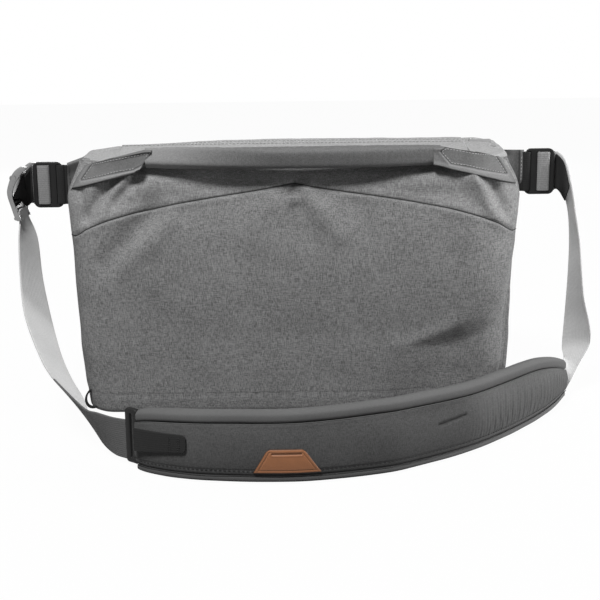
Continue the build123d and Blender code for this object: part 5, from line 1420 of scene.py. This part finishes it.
# ---------------------------------------------------------------- shoulder pad
# Stations along the pad, from its left end: place across, place back, height of its top edge, how full it is.
PAD_STATIONS = (
    (-134, -229, 53.8, 0.6), (-122, -238.5, 57.8, 0.8), (-98, -249.5, 60.3, 1.0), (-64, -257.5, 61.8, 1.0),
    (3, -261, 62.8, 1.0), (68, -246, 64.8, 1.0), (102, -228.5, 64.8, 1.0), (148, -196, 63.8, 1.0),
    (188, -156, 63.8, 1.0), (223, -113, 61.8, 1.0), (250, -72, 52.8, 0.8), (271, -31, 38.8, 0.5),
)
# Heights of its sewn borders, half its thickness at the seams, how much more its middle bulges, its number of rows
# and the height of its stitches above the lower seam.
PAD_TOP_BAND = 11.0
PAD_LOW_BAND = 7.0
PAD_HALF = 6.0
PAD_CROWN = 3.2
PAD_ROWS = 560
STITCH_RISE = 4.5


def pad_line():
    """Stations along the pad: place, direction outwards and how full it is."""
    line = curve_through(PAD_STATIONS, PAD_ROWS)
    travel = unit(np.gradient(line[:, :2], axis=0))
    outwards = np.stack([travel[:, 1], -travel[:, 0]], axis=1)
    full = 0.5 + 0.5 * line[:, 3]
    return line, outwards, full


def pad_place(line, outwards, offsets, heights):
    """Points at distances off the pad's centre line and at heights."""
    x = line[..., :1] + outwards[..., :1] * offsets
    y = line[..., 1:2] + outwards[..., 1:2] * offsets
    return points_at(x, y, heights)


def pad_front_offset(full, share):
    """How far the pad's front stands off its centre line, from its lower seam (0) to its upper seam (1)."""
    swell = arch(share)
    return PAD_HALF * full - 0.4 + PAD_CROWN * full * swell + 0.3 * np.minimum(1, swell * 6)


def pad_gather(line, share):
    """Upright gathers near the pad's right end, and where that end is."""
    reach = run_lengths(line[:, :2])
    at = reach[:, None] + 0 * share
    right_end = ease(288, 345, at) * (1 - ease(reach[-1] - 4, reach[-1], at))
    ribs = (np.sin(2 * np.pi * at / 4.1 + 1.2 * np.sin(share * 5 + at * 0.05)) * 0.36
            + np.sin(2 * np.pi * at / 7.1 + 2.0 * np.sin(share * 3 - at * 0.03)) * 0.3)
    return right_end * ribs, right_end


def build_pad():
    """The shoulder pad: a thick curved cushion with a front cover, a mesh back and two sewn borders."""
    line, outwards, full = pad_line()
    rows = len(line)
    top = line[:, 2:3]
    full = full[:, None]
    low_z, high_z = PAD_LOW_BAND, top - PAD_TOP_BAND
    share = graded(44, 0.4)[None, :]
    heights = low_z + (high_z - low_z) * share
    gather, right_end = pad_gather(line, np.repeat(share, rows, axis=0))
    front = pad_front_offset(full, share) + gather * np.minimum(1, 6 * share * (1 - share))
    place = pad_place(line, outwards, front, heights)
    front = front + ripple(place, 60.0, 101) * 0.45 * np.minimum(1, 8 * share * (1 - share))
    slit_gap, _ = segment_distance(place[..., 0], heights, (124.0, 35.0), (149.0, 38.0))
    front -= 1.3 * hump(slit_gap, 1.3)
    front += 0.6 * hump(share - 1, 0.06)
    front -= 0.5 * hump(heights - low_z - STITCH_RISE, 0.8)
    seam = np.clip(hump(slit_gap, 1.1) + 0.8 * hump(share, 0.02) + 0.3 * hump(share - 1, 0.012), 0, 1)
    inner = 0.8
    face = joined_sheets("pad_front_cloth", pad_place(line, outwards, front, heights),
                         pad_place(line, outwards, inner, heights), {"seam": seam, "pale_and_painted_light": right_end * 0.5})
    finish_piece(face, "strap", "pad_fabric", ("pad_face", "pad_core"))
    back = -(PAD_HALF * full + 2.2 * full * arch(share)) - ripple(place, 60.0, 103) * 0.3
    rear = joined_sheets("pad_back_mesh", pad_place(line, outwards, back, heights),
                         pad_place(line, outwards, -inner, heights))
    finish_piece(rear, "strap", "pad_mesh", ("pad_back",))
    build_pad_borders(line, outwards, full)
    flat = outwards * (PAD_HALF * full)
    for name, z, lift, finish in (("upper", high_z[:, 0] + 0.2, 0.2, "pad_border"),
                                  ("lower", low_z - 0.2, 0.45, "thread_dark")):
        path = line[:, :2] + flat + outwards * lift
        cord = cord_piece(f"pad_seam_{name}", points_at(path[:, 0], path[:, 1], z), 0.34)
        finish_piece(cord, "strap", "pad_fabric", finish=finish)
    path = at_height(line[:, :2] + flat + outwards, low_z + STITCH_RISE)
    thread = thread_piece("pad_stitches", [(path[8:-8], at_height(outwards, 0.0)[8:-8])], 0.32, 2.6, 1.3)
    finish_piece(thread, "strap", "pad_fabric", finish="thread_dark")


def build_pad_borders(line, outwards, full):
    """The soft rounded bands above and below the pad's face, full at their middle and drawn in at their seam."""
    turns = np.linspace(0, 2 * np.pi, 44, endpoint=False)
    across = squared_off(np.cos(turns), 0.55)
    up = squared_off(np.sin(turns), 0.75)
    count = np.arange(len(line))
    end = np.clip(np.minimum(count, count[::-1]) / 5.0, 0, 1)
    squeeze = 0.72 + 0.28 * np.sqrt(1 - (1 - end) ** 2)
    for name, band, foot, to_seam in (("top", PAD_TOP_BAND, line[:, 2:3] - PAD_TOP_BAND, -up),
                                      ("bottom", PAD_LOW_BAND, 0.0, up)):
        width = 1 - 0.05 * hump(to_seam - 1, 0.25)
        width = width * (1 - 0.28 * ease(0.1, 1.0, -to_seam) ** 2)
        grid = pad_place(line, outwards, across * (PAD_HALF * full + 0.35) * width, foot + band / 2 + up * band / 2)
        wave = ripple(grid, 40.0, 105) * 0.22
        grid[..., :2] += outwards[:, None, :] * wave[..., None]
        grid[..., 2] = np.maximum(grid[..., 2], 0.0)
        centre = grid.mean(axis=1, keepdims=True)
        grid = centre + (grid - centre) * squeeze[:, None, None]
        # Painted light: the lower border is drawn paler towards the right, for light bounced up from the floor.
        painted_floor_light = ease(60, 240, grid[..., 0]) * (name == "bottom")
        piece = grid_piece(f"pad_border_cloth_{name}", grid, {"pale_and_painted_light": painted_floor_light})
        finish_piece(piece, "strap", "pad_fabric", (f"pad_border_{name}",),
                     finish="pad_border" if name == "top" else "pad_hem")


def pad_surface(x, z):
    """Points and outward directions on the pad's front at given places across and heights."""
    line, outwards, full = pad_line()
    row = np.interp(x, line[:, 0], np.arange(len(line)))
    low = np.clip(row.astype(int), 0, len(line) - 2)
    blend = (row - low)[..., None]
    table = np.column_stack([line, outwards, full])
    base = table[low] * (1 - blend) + table[low + 1] * blend
    share = np.clip((z - PAD_LOW_BAND) / (base[..., 2] - PAD_TOP_BAND - PAD_LOW_BAND), 0, 1)
    offset = pad_front_offset(base[..., 6], share)
    normal = points_at(base[..., 4], base[..., 5], 0.0)
    return points_at(base[..., 0], base[..., 1], z) + normal * offset[..., None], normal


# The leather patch: heights of its borders, the places of its lower and upper corners, and its pressed slot.
LEATHER_Z = (9.5, 31.0)
LEATHER_LEFT = (-35.0, -23.0)
LEATHER_RIGHT = (20.0, 6.0)
LEATHER_SLOT = ((-19.0, 27.0), (3.6, 27.0))


def build_leather_patch():
    """The bare leather patch: thick hide with burnished edges, a pressed border and a pressed slot."""
    low, high = LEATHER_Z
    z = (low + (high - low) * graded(60, 0.5))[:, None] + np.zeros((1, 110))
    top_gap = high - z
    corner = 3.2
    pull = np.where(top_gap < corner, corner - np.sqrt(np.maximum(0, corner**2 - (corner - top_gap) ** 2)), 0)
    left = np.interp(z, LEATHER_Z, LEATHER_LEFT) + pull
    right = np.interp(z, LEATHER_Z, LEATHER_RIGHT) - pull
    x = left + (right - left) * graded(110, 0.5)[None, :]
    place, normal = pad_surface(x, z)
    side_gap = np.minimum(x - left, right - x) * 0.87
    gap = np.minimum.reduce([side_gap, z - low, top_gap])
    rise = 1.5 * np.sqrt(np.clip(1 - (1 - np.clip(gap, 0, 1)) ** 2, 0.05, 1))
    rise -= 0.35 * hump(gap - 2.6, 0.5)
    slot, _ = segment_distance(x, z, *LEATHER_SLOT)
    rise -= 0.7 * (1 - ease(0.5, 1.0, slot))
    rise += 0.25 * hump(slot - 1.7, 0.6) + ripple(place, 12.0, 111) * 0.06
    edge = np.clip(1 - gap / 0.9, 0, 1) + 0.35 * hump(gap - 2.6, 0.45) + 0.5 * (1 - ease(0.5, 1.2, slot))
    piece = joined_sheets("leather_tag", place + normal * (rise + 0.15)[..., None], place - normal * 0.4,
                          {"seam": np.clip(edge, 0, 1)})
    finish_piece(piece, "strap", "leather", ("leather_patch",))


def build_ring():
    """The black ring between webbing and pad, and the band that holds it."""
    line, outwards, _ = pad_line()
    origin = np.array([line[0, 0], line[0, 1], 5.0])
    out = np.array([outwards[0, 0], outwards[0, 1], 0.0])
    off_end = np.array([out[1], -out[0], 0.0])
    if off_end[0] > 0:
        off_end = -off_end
    centre = (origin + off_end * 8.0 + (0, 0, 24.0)) * MM
    place = Matrix(((off_end[0], 0, out[0], centre[0]), (off_end[1], 0, out[1], centre[1]), (0, 1, 0, centre[2]),
                    (0, 0, 0, 1)))
    ring = moulding("ring", rounded_loop(14.6, 49.0, 3.4, 6), [rounded_loop(2.2, 40.0, 1.0, 4)], 4.6, 1.3, place)
    finish_piece(ring, "strap", "black_plastic", ("pad_ring",))
    plan = [(0.0, -2.7), (1.0, -2.7), (3.6, -2.7), (4.9, -1.9), (5.1, 0.0), (4.9, 1.9), (3.6, 2.7), (1.0, 2.7),
            (0.0, 2.7)]
    path = curve_through(plan, 60)
    line = origin + off_end * path[:, :1] + out * path[:, 1:2]
    band = band_piece("ring_band", line + (0, 0, 6.0), line + (0, 0, 42.0), 0.95, columns=12)
    finish_piece(band, "strap", "webbing_dark", ("pad_ring_loop",))


def build_pull_tab():
    """The pull tab at the pad's left end, bowed and rounded at its tip, with its bar tacks."""
    root, tip = np.array((-137.5, -241.5, 31.5)), np.array((-93.0, -265.5, 33.5))
    run = unit(tip - root)
    side = np.cross(run, (0, 0, 1.0))
    reach = 51.0
    round_tip = 7.0

    def bow(at):
        """How far the tab stands off the straight line between its ends."""
        return 0.8 * np.sin(np.pi * at / reach) - 3.4 * (at / reach) ** 2

    straight = reach - round_tip
    at = np.concatenate([np.linspace(0, straight, 60),
                         straight + round_tip * np.sin(np.linspace(0.05, np.pi / 2, 14))])[:, None]
    broad = 10.4 - 2.6 * at / reach
    rounding = np.sqrt(np.clip(1 - ((at - straight) / round_tip) ** 4, 0.0, 1))
    half = np.where(at < straight, broad, broad - 4.0 + 4.0 * rounding) * (0, 0, 1)
    centre = root + run * at + side * bow(at)
    tab = band_piece("pull_tab_webbing", centre - half, centre + half, 1.5, columns=16)
    finish_piece(tab, "tab", "webbing_dark", ("pull_tab",))
    lines = []
    for place in (35.5, 36.9, 44.0, 45.4):
        start = root + run * place + side * (bow(place) + 0.72)
        column = points_at(start[0], start[1], start[2] + np.linspace(-7.5, 7.5, 20))
        lines.append((column, np.tile(side, (20, 1))))
    tacks = thread_piece("pull_tab_tacks", lines, 0.42, 1.6, 0.3, lift=0.1)
    finish_piece(tacks, "tab", "webbing_dark", finish="thread_dark")


def build_corner_loops():
    """The small webbing loops at the front corners of the base."""
    angles = np.radians(np.linspace(-150, 120, 70))[:, None]
    line = ((201.5, -57.0, 12.5) + 11.5 * np.cos(angles) * (0.62, -0.55, -0.30)
            + 9.0 * np.sin(angles) * (0.35, 0.1, 0.9))
    line[:, 2] = np.maximum(line[:, 2], 2.2)
    for side_name, sign in SIDES:
        path = line * (sign, 1, 1)
        loop = band_piece(f"corner_webbing_{side_name}", path + (0, 2.6, 0), path + (0, -2.6, 0), 1.8, columns=10)
        finish_piece(loop, "bag", "webbing_dark", (f"corner_loop_{side_name}",))


def dress_carried_parts():
    """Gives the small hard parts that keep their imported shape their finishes."""
    finishes = {"zip_teeth_front": "black_plastic", "zip_teeth_rear": "black_plastic", "zip_slider": "steel",
                "zip_puller": "steel", "adjuster_pin": "satin_metal", "adjuster_screws": "satin_metal"}
    for node, finish in finishes.items():
        piece = bpy.data.objects[node]
        piece.data.materials.clear()
        piece.data.materials.append(finish_named(finish))


# ---------------------------------------------------------------- stage
# Lamps: name, place and aim in metres, width in metres, power in watts.
LAMPS = (
    ("front_lamp", (-0.9, -2.1, 0.7), (0.0, -0.1, 0.1), 1.0, 1.5),
    ("right_lamp", (1.2, -0.12, 0.32), (0.2, 0.0, 0.06), 0.5, 16.0),
    ("rear_lamp", (-0.2, 2.3, 0.55), (0.0, 0.0, 0.12), 1.2, 34.0),
    ("top_lamp", (0.15, 0.8, 1.7), (0.0, 0.0, 0.2), 1.0, 2.0),
)
SEEN_RAYS = ("Is Camera Ray", "Is Glossy Ray", "Is Transmission Ray")


def build_stage():
    """Pale floor, soft studio light and the camera at the photograph's angle."""
    scene = bpy.context.scene
    scene.view_settings.view_transform = "Standard"
    floor_mesh = bpy.data.meshes.new("floor")
    reach = 6.0
    floor_mesh.from_pydata([(-reach, -reach, 0), (reach, -reach, 0), (reach, reach, 0), (-reach, reach, 0)], [],
                           [(0, 1, 2, 3)])
    floor = linked_object("floor", floor_mesh)
    floor.location.z = -0.0004
    paper = Finish("studio_paper", Base_Color=colour(0.22), Roughness=0.9, Specular_IOR_Level=0.1)
    glow = paper.node("ShaderNodeEmission", None, {"Color": colour(1.0), "Strength": 1.04})
    shown = paper.light_path(*SEEN_RAYS) * 0.93
    mix = paper.node("ShaderNodeMixShader", None, {0: shown, 1: Value(paper, paper.surface.outputs[0]), 2: glow})
    paper.tree.links.new(mix.socket, paper.tree.nodes["Material Output"].inputs["Surface"])
    floor_mesh.materials.append(paper.material)

    scene.world = bpy.data.worlds.new("studio")
    scene.world.use_nodes = True
    sky = Wiring(scene.world.node_tree)
    level = sky.light_path(*SEEN_RAYS) * (1.0 - sizes().sky) + sizes().sky
    back = sky.tree.nodes["Background"]
    back.inputs["Color"].default_value = colour(1.0)
    sky.tree.links.new(level.socket, back.inputs["Strength"])

    main_lamp = ("key_lamp", (-0.6, -1.45, 2.25), (0.0, -0.05, 0.14), sizes().key_width, sizes().key_power)
    for name, place, aim, size, power in (main_lamp,) + LAMPS:
        lamp = bpy.data.lights.new(name, "AREA")
        lamp.shape = "DISK"
        lamp.size = size
        lamp.energy = power
        holder = linked_object(name, lamp)
        holder.location = place
        holder.rotation_euler = (Vector(aim) - Vector(place)).to_track_quat("-Z", "Y").to_euler()

    pitch, roll = math.radians(12.35), math.radians(-0.7)
    forward = Vector((0.0, math.cos(pitch), -math.sin(pitch)))
    right = Vector((1.0, 0.0, 0.0))
    up = right.cross(forward)
    side = right * math.cos(roll) + up * math.sin(roll)
    top = up * math.cos(roll) - right * math.sin(roll)
    camera_data = bpy.data.cameras.new("camera")
    camera_data.lens = 71.4
    camera_data.sensor_width = 36.0
    camera = linked_object("camera", camera_data)
    camera.matrix_world = Matrix((
        (side.x, top.x, -forward.x, 0.005),
        (side.y, top.y, -forward.y, -1.2),
        (side.z, top.z, -forward.z, 0.36),
        (0.0, 0.0, 0.0, 1.0),
    ))
    scene.camera = camera


# ---------------------------------------------------------------- settings
def length(name, text, value, top):
    """A length property, given in millimetres."""
    return bpy.props.FloatProperty(name=name, description=text, default=value * MM, min=0.0, max=top * MM,
                                   subtype="DISTANCE", unit="LENGTH")


class SlingBagSizes(bpy.types.PropertyGroup):
    """Sizes of the cloth and strength of the light."""

    fullness: length("Fullness", "How far the fullest part of the front stands out", 10.4, 16.0)
    pinch: length("Corner pinch", "How far the upright corners of the front draw in", 6.0, 9.0)
    sag: length("Top sag", "How far the left end of the closed top settles", 9.5, 12.0)
    crease: bpy.props.FloatProperty(name="Creases", description="Depth of the front's creases, 1 as photographed",
                                    default=1.0, min=0.0, max=1.5, subtype="FACTOR")
    seam_depth: length("Seam depth", "How deep the slanting seam of the front is pulled in", 1.7, 3.0)
    stitch: length("Stitch", "Length of one stitch on the top, tabs and pad", PLAIN_STITCH, 5.0)
    yarn: length("Yarn", "Width of the yarn of the heather canvas", 0.6, 2.0)
    key_power: bpy.props.FloatProperty(name="Main lamp", description="Power of the lamp above the left front",
                                       default=98.0, min=0.0, max=400.0, unit="POWER")
    key_width: bpy.props.FloatProperty(name="Main lamp width", description="Width of that lamp; wider is softer",
                                       default=0.7, min=0.05, max=3.0, subtype="DISTANCE", unit="LENGTH")
    sky: bpy.props.FloatProperty(name="Sky", description="Strength of the even light from all round", default=0.05,
                                 min=0.0, max=1.0, subtype="FACTOR")


def tone(name, text, value):
    """A colour property with its default."""
    return bpy.props.FloatVectorProperty(name=name, description=text, default=colour(value)[:3], min=0.0, max=1.0,
                                         size=3, subtype="COLOR")


class SlingBagTones(bpy.types.PropertyGroup):
    """Colours of the cloth, webbing, leather and hardware."""

    shell: tone("Shell", "Heather canvas of the body", 0.165)
    trim: tone("Trim", "Lighter cloth of the top", 0.28)
    handle: tone("Handle", "Cloth of the grab handle", 0.125)
    lining: tone("Lining", "Brushed lining", 0.30)
    pad: tone("Pad", "Dark cloth of the shoulder pad", 0.07)
    pad_border: tone("Pad border", "Smooth cloth along the pad's edges", 0.10)
    webbing: tone("Webbing", "Light webbing of the strap", 0.42)
    dark_webbing: tone("Dark webbing", "Near black webbing", 0.014)
    # Painted shade: the turned-over back of the webbing is drawn darker than the webbing itself.
    turned_webbing_shade: tone("Turned webbing", "Darker back of the webbing", 0.085)
    plastic: tone("Plastic", "Black moulded nylon", 0.009)
    metal: tone("Metal", "Satin cast metal", 0.24)
    leather: tone("Leather", "Tan leather", (0.26, 0.105, 0.043))


class SLINGBAG_OT_lining(bpy.types.Operator):
    """Sew the lining tub"""

    bl_idname = "slingbag.lining"
    bl_label = "Lining"

    def execute(self, context):
        build_lining()
        return {"FINISHED"}


class SLINGBAG_OT_sleeve_and_pocket(bpy.types.Operator):
    """Sew the tablet sleeve and the front pocket"""

    bl_idname = "slingbag.sleeve_and_pocket"
    bl_label = "Sleeve and pocket"

    def execute(self, context):
        build_sleeve_and_pocket()
        return {"FINISHED"}


class SLINGBAG_OT_dividers(bpy.types.Operator):
    """Make the padded dividers and their folding tops"""

    bl_idname = "slingbag.dividers"
    bl_label = "Dividers"

    def execute(self, context):
        build_dividers()
        return {"FINISHED"}


class SLINGBAG_OT_body_shell(bpy.types.Operator):
    """Sew the outside of the bag"""

    bl_idname = "slingbag.body_shell"
    bl_label = "Body shell"

    def execute(self, context):
        build_body_shell()
        return {"FINISHED"}


class SLINGBAG_OT_top_flaps(bpy.types.Operator):
    """Sew the zipped flaps of the top"""

    bl_idname = "slingbag.top_flaps"
    bl_label = "Top flaps"

    def execute(self, context):
        build_top_flaps()
        return {"FINISHED"}


class SLINGBAG_OT_top_ends(bpy.types.Operator):
    """Sew the fixed ends of the top"""

    bl_idname = "slingbag.top_ends"
    bl_label = "Top ends"

    def execute(self, context):
        build_top_ends()
        return {"FINISHED"}


class SLINGBAG_OT_handle(bpy.types.Operator):
    """Make the padded grab handle"""

    bl_idname = "slingbag.handle"
    bl_label = "Grab handle"

    def execute(self, context):
        build_handle()
        return {"FINISHED"}


class SLINGBAG_OT_handle_patches(bpy.types.Operator):
    """Make the patches that carry the handle"""

    bl_idname = "slingbag.handle_patches"
    bl_label = "Handle patches"

    def execute(self, context):
        build_handle_patches()
        return {"FINISHED"}


class SLINGBAG_OT_side_tabs(bpy.types.Operator):
    """Sew the side tabs and their webbing loops"""

    bl_idname = "slingbag.side_tabs"
    bl_label = "Side tabs"

    def execute(self, context):
        build_side_tabs()
        return {"FINISHED"}


class SLINGBAG_OT_frames(bpy.types.Operator):
    """Mould the black strap frames"""

    bl_idname = "slingbag.frames"
    bl_label = "Frames"

    def execute(self, context):
        build_frames()
        return {"FINISHED"}


class SLINGBAG_OT_frame_wraps(bpy.types.Operator):
    """Turn the webbing round the frames' bars"""

    bl_idname = "slingbag.frame_wraps"
    bl_label = "Frame webbing"

    def execute(self, context):
        build_frame_wraps()
        return {"FINISHED"}


class SLINGBAG_OT_webbing(bpy.types.Operator):
    """Weave the runs of the strap and their keepers"""

    bl_idname = "slingbag.webbing"
    bl_label = "Strap webbing"

    def execute(self, context):
        build_webbing()
        return {"FINISHED"}


class SLINGBAG_OT_adjuster(bpy.types.Operator):
    """Cast the quick adjuster and its lever"""

    bl_idname = "slingbag.adjuster"
    bl_label = "Adjuster"

    def execute(self, context):
        build_adjuster()
        return {"FINISHED"}


class SLINGBAG_OT_pad(bpy.types.Operator):
    """Sew the shoulder pad"""

    bl_idname = "slingbag.pad"
    bl_label = "Shoulder pad"

    def execute(self, context):
        build_pad()
        return {"FINISHED"}


class SLINGBAG_OT_leather_patch(bpy.types.Operator):
    """Cut and press the bare leather patch"""

    bl_idname = "slingbag.leather_patch"
    bl_label = "Leather patch"

    def execute(self, context):
        build_leather_patch()
        return {"FINISHED"}


class SLINGBAG_OT_ring(bpy.types.Operator):
    """Make the ring, its band and the pull tab"""

    bl_idname = "slingbag.ring"
    bl_label = "Ring and pull tab"

    def execute(self, context):
        build_ring()
        build_pull_tab()
        return {"FINISHED"}


class SLINGBAG_OT_corner_loops(bpy.types.Operator):
    """Make the webbing loops at the base corners"""

    bl_idname = "slingbag.corner_loops"
    bl_label = "Corner loops"

    def execute(self, context):
        build_corner_loops()
        return {"FINISHED"}


class SLINGBAG_OT_carried_parts(bpy.types.Operator):
    """Finish the zip teeth, slider, puller, axle and screws"""

    bl_idname = "slingbag.carried_parts"
    bl_label = "Small hard parts"

    def execute(self, context):
        dress_carried_parts()
        return {"FINISHED"}


class SLINGBAG_OT_stage(bpy.types.Operator):
    """Set the floor, the light and the camera"""

    bl_idname = "slingbag.stage"
    bl_label = "Stage"

    def execute(self, context):
        build_stage()
        return {"FINISHED"}


OPERATORS = (
    SLINGBAG_OT_lining,
    SLINGBAG_OT_sleeve_and_pocket,
    SLINGBAG_OT_dividers,
    SLINGBAG_OT_body_shell,
    SLINGBAG_OT_top_flaps,
    SLINGBAG_OT_top_ends,
    SLINGBAG_OT_handle,
    SLINGBAG_OT_handle_patches,
    SLINGBAG_OT_side_tabs,
    SLINGBAG_OT_frames,
    SLINGBAG_OT_frame_wraps,
    SLINGBAG_OT_webbing,
    SLINGBAG_OT_adjuster,
    SLINGBAG_OT_pad,
    SLINGBAG_OT_leather_patch,
    SLINGBAG_OT_ring,
    SLINGBAG_OT_corner_loops,
    SLINGBAG_OT_carried_parts,
    SLINGBAG_OT_stage,
)


class SLINGBAG_PT_panel(bpy.types.Panel):
    """Lists the steps that dress the bag."""

    bl_label = "Sling Bag"
    bl_space_type = "VIEW_3D"
    bl_region_type = "UI"
    bl_category = "Sling Bag"

    def draw(self, context):
        for operator in OPERATORS:
            self.layout.operator(operator.bl_idname)


CLASSES = (SlingBagSizes, SlingBagTones) + OPERATORS + (SLINGBAG_PT_panel,)


def register():
    for item in CLASSES:
        bpy.utils.register_class(item)
    bpy.types.Scene.sling_bag_sizes = bpy.props.PointerProperty(type=SlingBagSizes)
    bpy.types.Scene.sling_bag_tones = bpy.props.PointerProperty(type=SlingBagTones)


def unregister():
    del bpy.types.Scene.sling_bag_tones
    del bpy.types.Scene.sling_bag_sizes
    for item in reversed(CLASSES):
        bpy.utils.unregister_class(item)


def main():
    """Dresses the bag piece by piece."""
    register()
    for operator in OPERATORS:
        getattr(bpy.ops.slingbag, operator.bl_idname.split(".")[1])()


if __name__ == "__main__":
    main()
